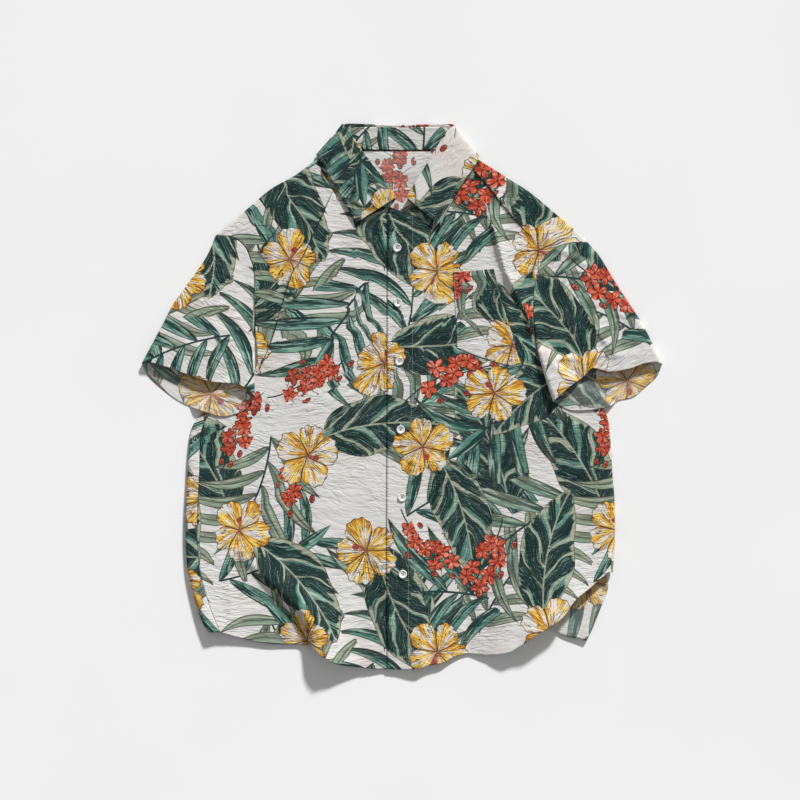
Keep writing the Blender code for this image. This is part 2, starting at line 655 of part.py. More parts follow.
def cloth(name, surface, across, up, finish, wall=WALL, closed=False):
    """One piece of cloth: a grid laid on a surface, given its wall by Solidify."""
    bm = bmesh.new()
    bmesh.ops.create_grid(bm, x_segments=len(across) - 1, y_segments=len(up) - 1, size=0.5)
    bm.verts.ensure_lookup_table()
    column = np.array([round((v.co.x + 0.5) * (len(across) - 1)) for v in bm.verts])
    row = np.array([round((v.co.y + 0.5) * (len(up) - 1)) for v in bm.verts])
    x, y, z = surface(across[column], up[row])
    for vert, place in zip(bm.verts, np.stack([x, y, z], axis=-1)):
        vert.co = place
    if closed:
        bmesh.ops.remove_doubles(bm, verts=bm.verts, dist=1e-6)
    mesh = bpy.data.meshes.new(name)
    bm.to_mesh(mesh)
    bm.free()
    mesh.shade_smooth()
    obj = link_object(name, mesh, finish)
    solidify = obj.modifiers.new("wall", "SOLIDIFY")
    solidify.thickness = wall
    solidify.offset = 0.0
    return obj


def add_body():
    near_shoulder = 1 - np.array(SHOULDER_ROWS) * SHOULDER_ROUND / SHORTEST_ROW
    up = np.concatenate([eased(31, 1.3)[:-2], near_shoulder])
    cloth("front_right", right_front_surface, np.linspace(0, 1, 15), up, CLOTH_FRONT)
    left = np.concatenate([np.linspace(0, 0.93, 19), np.linspace(0.955, 1.0, 5)])
    cloth("front_left", left_front_surface, left, up, CLOTH_FRONT)
    across = np.concatenate([np.linspace(0.0, 0.042, 6), np.linspace(0.06, 1.0, 15)])
    cloth("back", back_surface, across, up, CLOTH_BACK)


def add_sleeves():
    ring = np.linspace(0, 2, 25)
    along = np.linspace(0, 1, 10)
    for name, sleeve in (("sleeve_right", right_sleeve()), ("sleeve_left", left_sleeve())):
        cloth(name, sleeve.surface, ring, along, CLOTH_FRONT, closed=True)


def add_collar():
    cloth("collar_stand", strip_surface(STAND), np.linspace(0, 1, 31), np.linspace(0, 1, 5),
          CLOTH_COLLAR, wall=COLLAR_WALL)
    cloth("collar_leaf", strip_surface(LEAF), np.linspace(0, 1, 37),
          np.linspace(0, 1, 7), CLOTH_COLLAR, wall=COLLAR_WALL)


def add_pocket():
    cloth("pocket", pocket_surface, np.linspace(0, 1, 9), np.linspace(0, 1, 10), CLOTH_FRONT)


def add_button(number, place):
    """A turned button with a raised rim and four holes, on the placket."""
    radius, height = BUTTON_RADIUS, BUTTON_HEIGHT
    profile = [(0.0, 0.0), (0.80, 0.0), (1.0, 0.35), (1.0, 0.72), (0.90, 1.0), (0.74, 0.95),
               (0.62, 0.66), (0.0, 0.60)]
    bm = bmesh.new()
    verts = [bm.verts.new((r * radius, 0.0, h * height)) for r, h in profile]
    edges = [bm.edges.new(pair) for pair in zip(verts, verts[1:])]
    bmesh.ops.spin(bm, geom=verts + edges, cent=(0, 0, 0), axis=(0, 0, 1), angle=2 * pi,
                   steps=20, use_merge=True)
    bmesh.ops.remove_doubles(bm, verts=bm.verts, dist=1e-6)
    bmesh.ops.recalc_face_normals(bm, faces=bm.faces)
    mesh = bpy.data.meshes.new(f"button_{number}")
    bm.to_mesh(mesh)
    bm.free()
    button = link_object(f"button_{number}", mesh, SHELL_BUTTON)
    x, y = place.x * CM, place.y * CM
    lift = left_front_at(np.array(x), np.array(y)) + WALL / 2 + LAY_GAP
    button.location = (x, y, float(lift))
    holes = button_holes(f"button_{number}_holes")
    holes.location = button.location
    cut = button.modifiers.new("holes", "BOOLEAN")
    cut.object = holes


def button_holes(name):
    """Four pins that cut a button's thread holes."""
    bm = bmesh.new()
    for quarter in range(4):
        made = bmesh.ops.create_cone(bm, segments=8, radius1=BUTTON_HOLE_RADIUS,
                                     radius2=BUTTON_HOLE_RADIUS, depth=3 * BUTTON_HEIGHT,
                                     cap_ends=True)
        angle = pi / 4 + quarter * pi / 2
        offset = (BUTTON_HOLE_PITCH * cos(angle), BUTTON_HOLE_PITCH * sin(angle), 0.0)
        bmesh.ops.translate(bm, verts=made["verts"], vec=offset)
    mesh = bpy.data.meshes.new(name)
    bm.to_mesh(mesh)
    bm.free()
    cutter = bpy.data.objects.new(name, mesh)
    bpy.context.scene.collection.objects.link(cutter)
    cutter.hide_render = True
    cutter.display_type = "WIRE"
    return cutter


def main():
    clear_scene()
    add_body()
    add_sleeves()
    add_collar()
    add_pocket()
    for number, place in enumerate(BUTTONS, start=1):
        add_button(number, place)


main()
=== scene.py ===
"""Dresses the laid-out tropical shirt: printed cloth, sewing, buttons, floor, light and camera.

Every cloth piece is a grid laid on the form that its solid has, with finer creases, and given
its wall by Solidify. The print is drawn by shader groups in each motif's own coordinates, which
are worked out here from a repeat of posies and stored on the cloth. Units are metres; the tables
hold centimetres across the surface and millimetres above it. +Y points to the collar and +X to
the wearer's left.
"""

import logging
from dataclasses import dataclass
from enum import Enum
from functools import partial, partialmethod
from math import cos, pi, radians, sin
from typing import Callable, NamedTuple, Sequence

import bmesh
import bpy
import numpy as np
from mathutils import Matrix, Vector


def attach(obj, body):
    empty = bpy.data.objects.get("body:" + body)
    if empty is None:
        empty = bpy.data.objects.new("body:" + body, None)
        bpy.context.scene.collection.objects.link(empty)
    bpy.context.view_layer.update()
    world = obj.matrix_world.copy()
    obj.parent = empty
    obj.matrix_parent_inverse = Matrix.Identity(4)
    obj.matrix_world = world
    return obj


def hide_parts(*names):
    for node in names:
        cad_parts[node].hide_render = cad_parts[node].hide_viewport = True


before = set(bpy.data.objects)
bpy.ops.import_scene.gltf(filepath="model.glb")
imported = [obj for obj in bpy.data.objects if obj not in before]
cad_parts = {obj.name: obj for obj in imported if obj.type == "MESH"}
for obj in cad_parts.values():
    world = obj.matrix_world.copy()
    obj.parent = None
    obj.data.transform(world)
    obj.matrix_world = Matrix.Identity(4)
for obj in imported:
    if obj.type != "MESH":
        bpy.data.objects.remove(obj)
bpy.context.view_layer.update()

LOG = logging.getLogger("shirt")
CM = 0.01
MM = 0.001
BODY = "root"

Grid = np.ndarray
Pair = tuple[float, float]
Colour = tuple[float, float, float, float]
Tree, Node, Socket = bpy.types.NodeTree, bpy.types.Node, bpy.types.NodeSocket
Object, Mesh, Material = bpy.types.Object, bpy.types.Mesh, bpy.types.Material
BMesh = bmesh.types.BMesh


def linear(step: int) -> float:
    """A colour step from 0 to 255, as the linear value that shaders take."""
    share = step / 255
    return share / 12.92 if share <= 0.04045 else ((share + 0.055) / 1.055) ** 2.4


def srgb(red: int, green: int, blue: int) -> Colour:
    """A dye given in 0-255 steps, as a linear colour with full alpha."""
    return linear(red), linear(green), linear(blue), 1.0


# ---- dyes and finishes


@dataclass(frozen=True)
class Dyes:
    """The colours that the cloth is printed in, and the painted shadow laid below the fronts' sharp
    folds.
    """

    ground: Colour = srgb(210, 208, 204)
    blush: Colour = srgb(206, 182, 174)
    deep_teal: Colour = srgb(9, 38, 38)
    green: Colour = srgb(85, 130, 117)
    mint: Colour = srgb(158, 192, 178)
    sage: Colour = srgb(168, 171, 146)
    stem: Colour = srgb(30, 64, 60)
    outline: Colour = srgb(36, 26, 15)
    shadow: Colour = srgb(24, 22, 21)
    petal: Colour = srgb(220, 217, 210)
    yellow: Colour = srgb(234, 196, 84)
    amber: Colour = srgb(190, 122, 36)
    brown: Colour = srgb(78, 42, 16)
    stamen: Colour = srgb(158, 66, 60)
    coral: Colour = srgb(208, 88, 58)
    coral_light: Colour = srgb(230, 146, 126)
    coral_deep: Colour = srgb(108, 30, 22)


@dataclass(frozen=True)
class Finish:
    """A surface's constants, and the two colours and the fineness of its variation; on the printed cloth
    the dark colour is the painted shade laid in its crinkles' furrows.
    """

    name: str
    roughness: float
    light: Colour = srgb(210, 208, 204)
    dark: Colour = srgb(66, 62, 60)
    grain: float = 900.0
    sheen: float = 0.0
    coat: float = 0.0
    specular: float = 0.5
    bump: float = 0.0


CLOTH_OUTSIDE = Finish("printed_cotton", 0.86, sheen=0.05, specular=0.15, bump=0.9)
CLOTH_INSIDE = Finish("printed_cotton_inside", 0.92, sheen=0.10, specular=0.15, bump=0.9)
THREAD = Finish("sewing_thread", 0.7, srgb(186, 188, 178), srgb(158, 160, 150),
                sheen=0.2, specular=0.3, bump=0.3)
BUTTON_THREAD = Finish("button_thread", 0.7, srgb(150, 150, 150), srgb(112, 112, 116),
                       sheen=0.2, specular=0.3, bump=0.3)
SHELL = Finish("shell_button", 0.28, srgb(232, 231, 229), srgb(206, 205, 205), 160.0,
               coat=0.35, specular=0.55, bump=0.1)
BACKDROP = Finish("pale_backdrop", 0.95, srgb(237, 237, 237), srgb(235, 235, 235), 3.0,
                  specular=0.1, bump=0.02)
DYES = Dyes()


# ---- shader building

VECTOR = "NodeSocketVector"
FLOAT = "NodeSocketFloat"
COLOUR = "NodeSocketColor"
MIX_SLOTS = (0, 6, 7)    # a colour mix's share, lower and upper colour
MIXED = 2


class Wire:
    """A number inside a node tree, with the arithmetic that a drawn print needs."""

    def __init__(self, tree: Tree, socket: Socket) -> None:
        """Wraps a socket of a tree."""
        self.tree, self.socket = tree, socket

    def math(self, operation: str, *others: "Wire | float") -> "Wire":
        """Puts in one Math node.

        Args:
            operation: The Math node's operation.
            others: Its further inputs.

        Returns:
            The node's result.
        """
        node = self.tree.nodes.new("ShaderNodeMath")
        node.operation = operation
        for slot, value in enumerate((self, *others)):
            plug(self.tree, value, node.inputs[slot])
        return Wire(self.tree, node.outputs[0])

    __add__ = __radd__ = partialmethod(math, "ADD")
    __sub__ = partialmethod(math, "SUBTRACT")
    __mul__ = __rmul__ = partialmethod(math, "MULTIPLY")
    __truediv__ = partialmethod(math, "DIVIDE")
    __pow__ = partialmethod(math, "POWER")
    __abs__ = partialmethod(math, "ABSOLUTE")

    def __rsub__(self, other: float) -> "Wire":
        """Difference from a plain number."""
        return self.math("MULTIPLY", -1.0).math("ADD", other)

    def rise(self, low: float, high: float) -> "Wire":
        """A soft step.

        Args:
            low: Where it is still 0.
            high: Where it has reached 1.

        Returns:
            The step's height, 0 to 1.
        """
        node = self.tree.nodes.new("ShaderNodeMapRange")
        node.interpolation_type = "SMOOTHSTEP"
        node.inputs["From Min"].default_value = low
        node.inputs["From Max"].default_value = high
        plug(self.tree, self, node.inputs["Value"])
        return Wire(self.tree, node.outputs["Result"])

    def fall(self, low: float, high: float) -> "Wire":
        """A soft step down from 1 to 0."""
        return 1.0 - self.rise(low, high)

    def clip(self, low: float, high: float) -> "Wire":
        """The number, held between two bounds."""
        return self.math("MAXIMUM", low).math("MINIMUM", high)


def plug(tree: Tree, value: object, socket: Socket) -> None:
    """Links a wire or socket to an input, or sets the input to a constant.

    Args:
        tree: The tree that holds both.
        value: A Wire, a socket, a number or a colour.
        socket: The input.
    """
    if isinstance(value, Wire):
        value = value.socket
    if isinstance(value, Socket):
        tree.links.new(value, socket)
    else:
        socket.default_value = value


class Graph:
    """A node tree that is written as a list of drawing steps."""

    def __init__(self, tree: Tree) -> None:
        """Takes the tree to draw in."""
        self.tree = tree

    def node(self, kind: str, **inputs: object) -> Node:
        """Adds a node.

        Args:
            kind: The node's type.
            inputs: Values or sockets by input name, with _ for a space.

        Returns:
            The node.
        """
        made = self.tree.nodes.new(kind)
        for name, value in inputs.items():
            plug(self.tree, value, made.inputs[name.replace("_", " ")])
        return made

    def parts(self, socket: Socket) -> tuple[Wire, Wire, Wire]:
        """A vector's three numbers."""
        node = self.node("ShaderNodeSeparateXYZ", Vector=socket)
        return tuple(Wire(self.tree, out) for out in node.outputs)

    def vector(self, x: object, y: object, z: object = 0.0) -> Socket:
        """A vector from three numbers."""
        return self.node("ShaderNodeCombineXYZ", X=x, Y=y, Z=z).outputs[0]

    def noise(self, place: Socket, scale: float, detail: float = 2.0) -> Wire:
        """Smooth noise about one half, at a scale and with so many finer layers."""
        node = self.node("ShaderNodeTexNoise", Vector=place, Scale=scale, Detail=detail)
        return Wire(self.tree, node.outputs["Fac"])

    def attribute(self, name: str) -> Socket:
        """A vector stored on the cloth."""
        node = self.tree.nodes.new("ShaderNodeAttribute")
        node.attribute_name = name
        return node.outputs["Vector"]

    def group(self, tree: Tree) -> Node:
        """A node that holds a finished group."""
        node = self.tree.nodes.new("ShaderNodeGroup")
        node.node_tree = tree
        return node

    def paint(self, under: object, over: object, share: object) -> Socket:
        """Lays one colour over another.

        Args:
            under: The colour below.
            over: The colour above.
            share: How much of it covers.

        Returns:
            The mixed colour's socket.
        """
        node = self.tree.nodes.new("ShaderNodeMix")
        node.data_type = "RGBA"
        for slot, value in zip(MIX_SLOTS, (share, under, over)):
            plug(self.tree, value, node.inputs[slot])
        return node.outputs[MIXED]


class Ink:
    """A colour that is built up in layers."""

    def __init__(self, graph: Graph, ground: object) -> None:
        """Starts from the colour below all others."""
        self.graph, self.colour = graph, ground

    def lay(self, over: object, share: object) -> None:
        """Lays a colour over what is there."""
        self.colour = self.graph.paint(self.colour, over, share)


class GroupPlan:
    """A shader node group with named inputs and outputs, built once and placed in materials."""

    def __init__(self, name: str, inputs: dict[str, str], outputs: dict[str, str]) -> None:
        """Opens the group.

        Args:
            name: The group's name.
            inputs: Socket kinds by input name.
            outputs: Socket kinds by output name.
        """
        self.tree = bpy.data.node_groups.new(name, "ShaderNodeTree")
        for way, sockets in (("INPUT", inputs), ("OUTPUT", outputs)):
            for label, kind in sockets.items():
                self.tree.interface.new_socket(name=label, in_out=way, socket_type=kind)
        self.graph = Graph(self.tree)
        self.source = self.tree.nodes.new("NodeGroupInput")
        self.sink = self.tree.nodes.new("NodeGroupOutput")

    def give(self, **values: object) -> Tree:
        """Links the group's outputs, and returns its tree."""
        for name, value in values.items():
            plug(self.tree, value, self.sink.inputs[name])
        return self.tree


PETALS = 5.0
VEINS = 4.4              # pairs of side veins along a leaf
LEAFLETS = 4.8           # pairs of leaflets along a frond
BLOSSOMS = 4.9           # blossoms along a spray


def motif_plan(name: str) -> tuple[GroupPlan, Graph, Wire, Wire, Wire]:
    """A motif's group and graph, and the place along it, the place across it and its seed."""
    plan = GroupPlan(name, {"Local": VECTOR}, {"Colour": COLOUR, "Mask": FLOAT})
    return plan, plan.graph, *plan.graph.parts(plan.source.outputs["Local"])


def hibiscus_group() -> Tree:
    """Draws one hibiscus: five ruffled petals with yellow blotches and brown streaks.

    Returns:
        The group's tree. Local is in flower radii about its centre, with a seed as its z.
    """
    plan, g, x, y, seed = motif_plan("hibiscus_print")
    radius = (x * x + y * y).math("SQRT")
    sector = y.math("ARCTAN2", x) * (PETALS / (2 * pi))
    petal = (sector + 0.5).math("FLOOR")
    side = sector - petal
    odd = (((petal + PETALS).math("MODULO", PETALS) * 2.3 + seed * 9.1).math("SINE") + 1.0) * 0.5
    edge = abs(side) * 2.0
    ruffle = (side * 31.0 + odd * 6.0 + seed).math("SINE") * 0.020
    wobble = g.noise(g.vector(x, y, seed), 3.0, 1.0) - 0.5
    reach = odd * 0.13 + 0.86 - (edge ** 2.8) * 0.30 + ruffle + wobble * 0.16
    inset = reach - radius
    lane = g.vector(side * 3.0 + petal * 7.0, radius * 1.1, seed + odd)
    blotch = g.noise(lane, 1.5, 1.0) + edge * 0.07
    finer = g.noise(lane, 3.6, 2.0)
    streak = g.noise(g.vector(side * 9.0 + petal * 5.0, radius * 1.2, seed), 1.6, 1.0)
    hair = abs(g.noise(g.vector(side * 12.0 + petal * 3.0, radius * 0.9, seed + 4.0), 1.7, 1.0) - 0.5)
    ink = Ink(g, DYES.petal)
    ink.lay(DYES.ground, radius.rise(0.3, 1.0) * 0.5)
    ink.lay(DYES.yellow, blotch.rise(0.50, 0.55) * 0.95)
    ink.lay(DYES.yellow, finer.rise(0.57, 0.61) * 0.85)
    ink.lay(DYES.amber, (streak + blotch * 0.6).rise(0.88, 0.94) * 0.85)
    ink.lay(DYES.amber, inset.fall(0.02, 0.15) * blotch.rise(0.50, 0.58) * 0.7)
    ink.lay(DYES.amber, radius.fall(0.10, 0.42) * finer.rise(0.44, 0.56) * 0.8)
    ink.lay(DYES.brown, hair.fall(0.016, 0.042) * radius.fall(0.75, 1.15) * 0.95)
    ink.lay(DYES.brown, abs(blotch - 0.505).fall(0.004, 0.011) * streak.rise(0.42, 0.52) * 0.8)
    ink.lay(DYES.brown, radius.fall(0.05, 0.20) * streak.rise(0.45, 0.60) * 0.8)
    seam = (0.5 - abs(side)) * radius * 1.26
    ink.lay(DYES.brown, seam.fall(0.010, 0.030) * 0.85)
    ink.lay(DYES.outline, inset.fall(0.014, 0.040) * 0.88)
    along = (x * 0.64 + y * 0.77).clip(0.0, 0.34)
    bar = ((x - along * 0.64) ** 2.0 + (y - along * 0.77) ** 2.0).math("SQRT")
    ink.lay(DYES.stamen, bar.fall(0.018, 0.034) * 0.8)
    tuft = ((x - 0.21) ** 2.0 + (y - 0.25) ** 2.0).math("SQRT") - finer * 0.06
    ink.lay(DYES.stamen, tuft.fall(0.055, 0.075) * 0.92)
    dots = g.noise(g.vector(x, y, seed), 22.0, 0.0)
    ink.lay(DYES.coral_deep, tuft.fall(0.05, 0.08) * dots.rise(0.5, 0.6) * 0.7)
    return plan.give(Colour=ink.colour, Mask=inset.rise(-0.004, 0.008))


def leaf_group() -> Tree:
    """Draws one broad leaf: dark streaks between pale slanting veins, with a sage margin.

    Returns:
        The group's tree. Local runs 0 to 1 along the midrib, then across, then the seed.
    """
    plan, g, x, y, seed = motif_plan("broad_leaf_print")
    off = abs(y)
    along = x.clip(0.0, 1.0)
    wave = (along * 13.0 + seed * 9.0 + y.math("SIGN") * 1.7).math("SINE") * 0.06 + 1.0
    half = along ** 0.52 * (1.0 - along) ** 0.8 * 0.55 * wave
    inset = half - off
    bend = g.noise(g.vector(x, y, seed), 3.4, 1.0) - 0.5
    vein = (x - off * 1.75 + off * off * 1.9 + bend * 0.36) * VEINS + y.math("SIGN") * 0.22 + seed
    tri = abs(vein.math("FRACT") * 2.0 - 1.0)
    lane = g.vector(vein * 2.2, off * 1.9 + x * 0.6, seed + y.math("SIGN"))
    streak = g.noise(lane, 2.8, 3.0)
    broad = g.noise(lane, 1.1, 1.0)
    ink = Ink(g, DYES.green)
    ink.lay(DYES.mint, streak.rise(0.48, 0.60) * 0.85)
    pale = tri + (broad - 0.5) * 1.5
    ink.lay(DYES.sage, pale.rise(0.70, 0.86) * 0.9)
    depth = streak * 0.8 + broad * 0.6 - tri * 0.44
    ink.lay(DYES.deep_teal, depth.rise(0.310, 0.380) * 0.97)
    margin = inset + (broad - 0.5) * 0.17 + (streak - 0.5) * 0.05
    ink.lay(DYES.sage, margin.fall(0.010, 0.030) * 0.9)
    fine = abs(g.noise(g.vector(vein * 8.0, off * 2.4 + x * 0.6, seed), 1.8, 1.0) - 0.5)
    ink.lay(DYES.deep_teal, fine.fall(0.010, 0.026) * 0.7)
    light = abs(g.noise(g.vector(vein * 7.0, off * 2.4 + x * 0.6, seed + 5.0), 1.8, 1.0) - 0.5)
    ink.lay(DYES.mint, light.fall(0.006, 0.016) * 0.5)
    ink.lay(DYES.sage, off.fall(0.003, 0.009) * 0.7)
    ink.lay(DYES.outline, inset.fall(0.003, 0.010) * 0.8)
    return plan.give(Colour=ink.colour, Mask=inset.rise(-0.001, 0.003))


def frond_group() -> Tree:
    """Draws one palm frond: long curved leaflets in pairs along a thin stem.

    Returns:
        The group's tree. Local runs 0 to 1 along the stem, then across, then the seed.
    """
    plan, g, x, y, seed = motif_plan("palm_frond_print")
    off = abs(y)
    hand = y.math("SIGN")
    slant = (x - off * 1.05 + off * off * 0.75) * LEAFLETS + hand * 0.2 + 0.3
    number = slant.math("FLOOR")
    middle = slant - number - 0.5
    odd = ((number * 5.3 + hand * 2.1 + seed * 8.0).math("SINE") + 1.0) * 0.5
    length = (odd * 0.26 + 0.74) * (1.0 - abs(number - 1.6) * 0.10) * 0.72
    share = (off / length).math("MINIMUM", 1.0)
    width = ((share ** 0.62) * pi).math("SINE") * 0.33
    inside = width - abs(middle)
    lives = number.rise(-0.6, -0.4) * number.fall(4.4, 4.6) * share.fall(0.985, 1.0)
    tip = (x - 0.72) / 0.42
    blade = ((tip.clip(0.0, 1.0) ** 0.7) * pi).math("SINE") * 0.055 - off
    stem = (0.010 - off) * x.rise(-0.02, 0.0) * x.fall(0.86, 0.90)
    leaflet = inside.rise(-0.02, 0.03) * lives
    streak = g.noise(g.vector(middle * 4.0 + number, share * 1.5, seed), 2.5, 3.0)
    ink = Ink(g, DYES.green)
    ink.lay(DYES.deep_teal, (middle * hand + (streak - 0.5)).rise(-0.17, -0.10) * 0.88)
    ink.lay(DYES.mint, streak.rise(0.50, 0.60) * 0.7)
    faded = (seed * 3.7).math("FRACT").rise(0.45, 0.68)
    ink.lay(DYES.sage, (share * 0.55 + faded * 0.65 - 0.24 + (streak - 0.5)) * 0.8)
    rib = abs(middle + (streak - 0.5) * 0.12)
    ink.lay(DYES.stem, rib.fall(0.016, 0.045) * 0.75)
    ink.lay(DYES.outline, inside.fall(0.03, 0.080) * 0.8 * lives)
    grain = g.noise(g.vector(x * 1.6, y * 30.0, seed), 1.5, 2.0)
    end_leaf = Ink(g, DYES.green)
    end_leaf.lay(DYES.deep_teal, (y * 14.0 + grain - 0.5).rise(-0.05, 0.03) * 0.88)
    end_leaf.lay(DYES.mint, grain.rise(0.52, 0.60) * 0.7)
    end_leaf.lay(DYES.outline, blade.fall(0.002, 0.010) * 0.75)
    ink.lay(end_leaf.colour, blade.rise(0.0, 0.004))
    ink.lay(DYES.stem, stem.rise(0.0, 0.003))
    mask = leaflet.math("MAXIMUM", blade.rise(-0.001, 0.003)).math("MAXIMUM", stem.rise(0.0, 0.003))
    return plan.give(Colour=ink.colour, Mask=mask)


def spray_group() -> Tree:
    """Draws one spray of small blossoms with buds on thin stems.

    Returns:
        The group's tree. Local runs 0 to 1 along the spray, then across, then the seed.
    """
    plan, g, x, y, seed = motif_plan("blossom_spray_print")
    shifted = g.vector(x + seed * 3.0, y + seed * 7.0, 0.0)
    feature = g.node("ShaderNodeTexVoronoi", Vector=shifted, Scale=BLOSSOMS, Randomness=0.70)
    feature.voronoi_dimensions = "2D"
    centre_x, centre_y, _ = g.parts(feature.outputs["Position"])
    tint, spin, _ = g.parts(feature.outputs["Color"])
    middle_x = centre_x - seed * 3.0
    middle_y = centre_y - seed * 7.0
    dx = (x - middle_x) * BLOSSOMS
    dy = (y - middle_y) * BLOSSOMS
    radius = (dx * dx + dy * dy).math("SQRT")
    angle = dy.math("ARCTAN2", dx) + spin * 6.3
    lobe = abs((angle * 2.5).math("SINE"))
    envelope = ((middle_x - 0.44) / 0.46) ** 2.0 + (middle_y / 0.22) ** 2.0
    bloom = envelope.fall(0.999, 1.0)
    bud = envelope.rise(1.0, 1.001) * envelope.fall(2.0, 2.001) * tint.rise(0.60, 0.601)
    petals = (1.0 - lobe ** 2.2 * 0.36) * 0.70 - radius
    button = 0.22 - ((dx * 0.8) ** 2.0 + (dy * 1.15) ** 2.0).math("SQRT")
    grain = g.noise(g.vector(dx, dy, spin * 5.0), 2.4, 2.0)
    rays = g.noise(g.vector(angle * 4.0, radius * 0.8, spin * 9.0), 1.4, 1.0)
    ink = Ink(g, DYES.coral)
    ink.lay(DYES.coral_light, grain.rise(0.49, 0.58) * 0.85)
    ink.lay(DYES.coral_deep, tint.rise(0.3, 1.0) * 0.35)
    ink.lay(DYES.coral_deep, rays.fall(0.385, 0.465) * 0.88)
    gap = lobe.rise(0.88, 0.97) * radius.rise(0.05, 0.15)
    ink.lay(DYES.coral_deep, gap * 0.9)
    ink.lay(DYES.coral_deep, radius.fall(0.04, 0.13) * 0.9)
    shown = (petals.rise(-0.01, 0.03) * bloom).math("MAXIMUM", button.rise(-0.02, 0.03) * bud)
    rim = (petals.fall(0.06, 0.14) * bloom).math("MAXIMUM", button.fall(0.04, 0.09) * bud)
    ink.lay(DYES.outline, rim * 0.85)
    sway = (x * 7.0 + seed * 5.0).math("SINE") * 0.02
    main = (0.011 - abs(y - sway)) * x.rise(-0.30, -0.28) * x.fall(1.02, 1.04)
    twig_lane = abs(((x - abs(y) * 0.7) * 3.4 + seed).math("FRACT") - 0.5)
    twig = (0.022 - twig_lane) * abs(y).fall(0.22, 0.26) * x.rise(0.02, 0.06) * x.fall(0.85, 0.95)
    stems = main.rise(0.0, 0.003).math("MAXIMUM", twig.rise(0.0, 0.008))
    colour = g.paint(DYES.stem, ink.colour, shown)
    return plan.give(Colour=colour, Mask=shown.math("MAXIMUM", stems))


def crinkle_group() -> Tree:
    """The crepe-like crinkle of the cloth, running mostly across it: a height for its bump and a painted
    shade for its furrows.

    Returns:
        The group's tree. Flat is the cloth's flat place in metres.
    """
    plan = GroupPlan("cloth_crinkle", {"Flat": VECTOR}, {"Height": FLOAT, "Shade": FLOAT})
    g = plan.graph
    s, t, _ = g.parts(plan.source.outputs["Flat"])
    patch = g.noise(g.vector(s, t, 3.0), 16.0, 1.0)
    sway = (g.noise(g.vector(s, t, 9.0), 26.0, 1.0) - 0.5) * 0.012
    sway = sway + (g.noise(g.vector(s, t, 4.0), 7.0, 1.0) - 0.5) * 0.06
    long = g.noise(g.vector(s * 38.0, (t + sway) * 165.0, 1.0), 1.0, 2.0)
    fine = g.noise(g.vector(s * 95.0, (t + sway) * 390.0, 5.0), 1.0, 2.0)
    weave = g.noise(g.vector(s, t, 2.0), 1500.0, 0.0)
    strength = patch.rise(0.32, 0.66) * 0.7 + 0.3
    pinch = abs(g.noise(g.vector(s * 30.0, (t + sway) * 105.0, 7.0), 1.0, 3.0) - 0.5).fall(0.0, 0.075)
    height = (long + fine * 0.45 - pinch * 0.30) * strength + weave * 0.04
    # painted shade: the crinkles' furrows and pinches are darkened as if they lay in shadow
    painted_furrow_shade = ((long * 0.6 + fine * 0.4).fall(0.36, 0.50) * 0.8 + pinch * 0.30) * strength
    return plan.give(Height=height, Shade=painted_furrow_shade)


class Motif(Enum):
    """The kinds of motif in the print, each on its own layer of the cloth, lowest first."""

    FROND = "frond_place"
    LEAF = "leaf_place"
    FROND_OVER = "frond_over_place"
    LEAF_OVER = "leaf_over_place"
    SPRAY = "spray_place"
    HIBISCUS = "hibiscus_place"


def print_group() -> Tree:
    """The whole print: the ground with its blush, every layer of motifs over it, and a painted shadow
    just below the fronts' sharp folds.

    Returns:
        The group's tree, which reads the places stored on the cloth.
    """
    plan = GroupPlan("tropical_print", {}, {"Colour": COLOUR, "Shade": FLOAT, "Height": FLOAT})
    g = plan.graph
    flat = g.attribute("flat_place")
    s, t, _ = g.parts(flat)
    wash = g.noise(g.vector(s, t, 0.0), 11.0, 2.0)
    ink = Ink(g, DYES.ground)
    ink.lay(DYES.blush, wash.rise(0.50, 0.72) * 0.34)
    frond, leaf = frond_group(), leaf_group()
    drawing = {
        Motif.FROND: frond, Motif.LEAF: leaf, Motif.FROND_OVER: frond, Motif.LEAF_OVER: leaf,
        Motif.SPRAY: spray_group(), Motif.HIBISCUS: hibiscus_group(),
    }
    for motif in Motif:
        node = g.group(drawing[motif])
        plug(g.tree, g.attribute(motif.value), node.inputs["Local"])
        ink.lay(node.outputs["Colour"], node.outputs["Mask"])
    node = g.group(crinkle_group())
    plug(g.tree, flat, node.inputs["Flat"])
    beside, fade, _ = g.parts(g.attribute("fold_place"))
    # painted shadow: the cloth just below a sharp fold's edge is darkened as if the fold shaded it
    under = beside.rise(-3.0, -0.3) * beside.fall(-0.3, 0.5) * fade
    ink.lay(DYES.shadow, under * 0.82)
    height = Wire(g.tree, node.outputs["Height"]) + beside.rise(-1.2, 0.6) * fade * 0.5
    return plan.give(Colour=ink.colour, Shade=node.outputs["Shade"], Height=height)


def finish_material(finish: Finish) -> tuple[Material, Graph, Node]:
    """A new material with its constants set on the shader's own sockets.

    Args:
        finish: The surface's constants.

    Returns:
        The material, a graph for its tree, and its shader.
    """
    material = bpy.data.materials.new(finish.name)
    material.use_nodes = True
    shader = material.node_tree.nodes["Principled BSDF"]
    shader.inputs["Roughness"].default_value = finish.roughness
    shader.inputs["Sheen Weight"].default_value = finish.sheen
    shader.inputs["Coat Weight"].default_value = finish.coat
    shader.inputs["Specular IOR Level"].default_value = finish.specular
    return material, Graph(material.node_tree), shader


def add_bump(g: Graph, shader: Node, height: object, strength: float, reach: float) -> None:
    """Roughens a shader by a height, with this strength and this reach in metres."""
    bump = g.node("ShaderNodeBump", Strength=strength, Distance=reach, Height=height)
    g.tree.links.new(bump.outputs["Normal"], shader.inputs["Normal"])


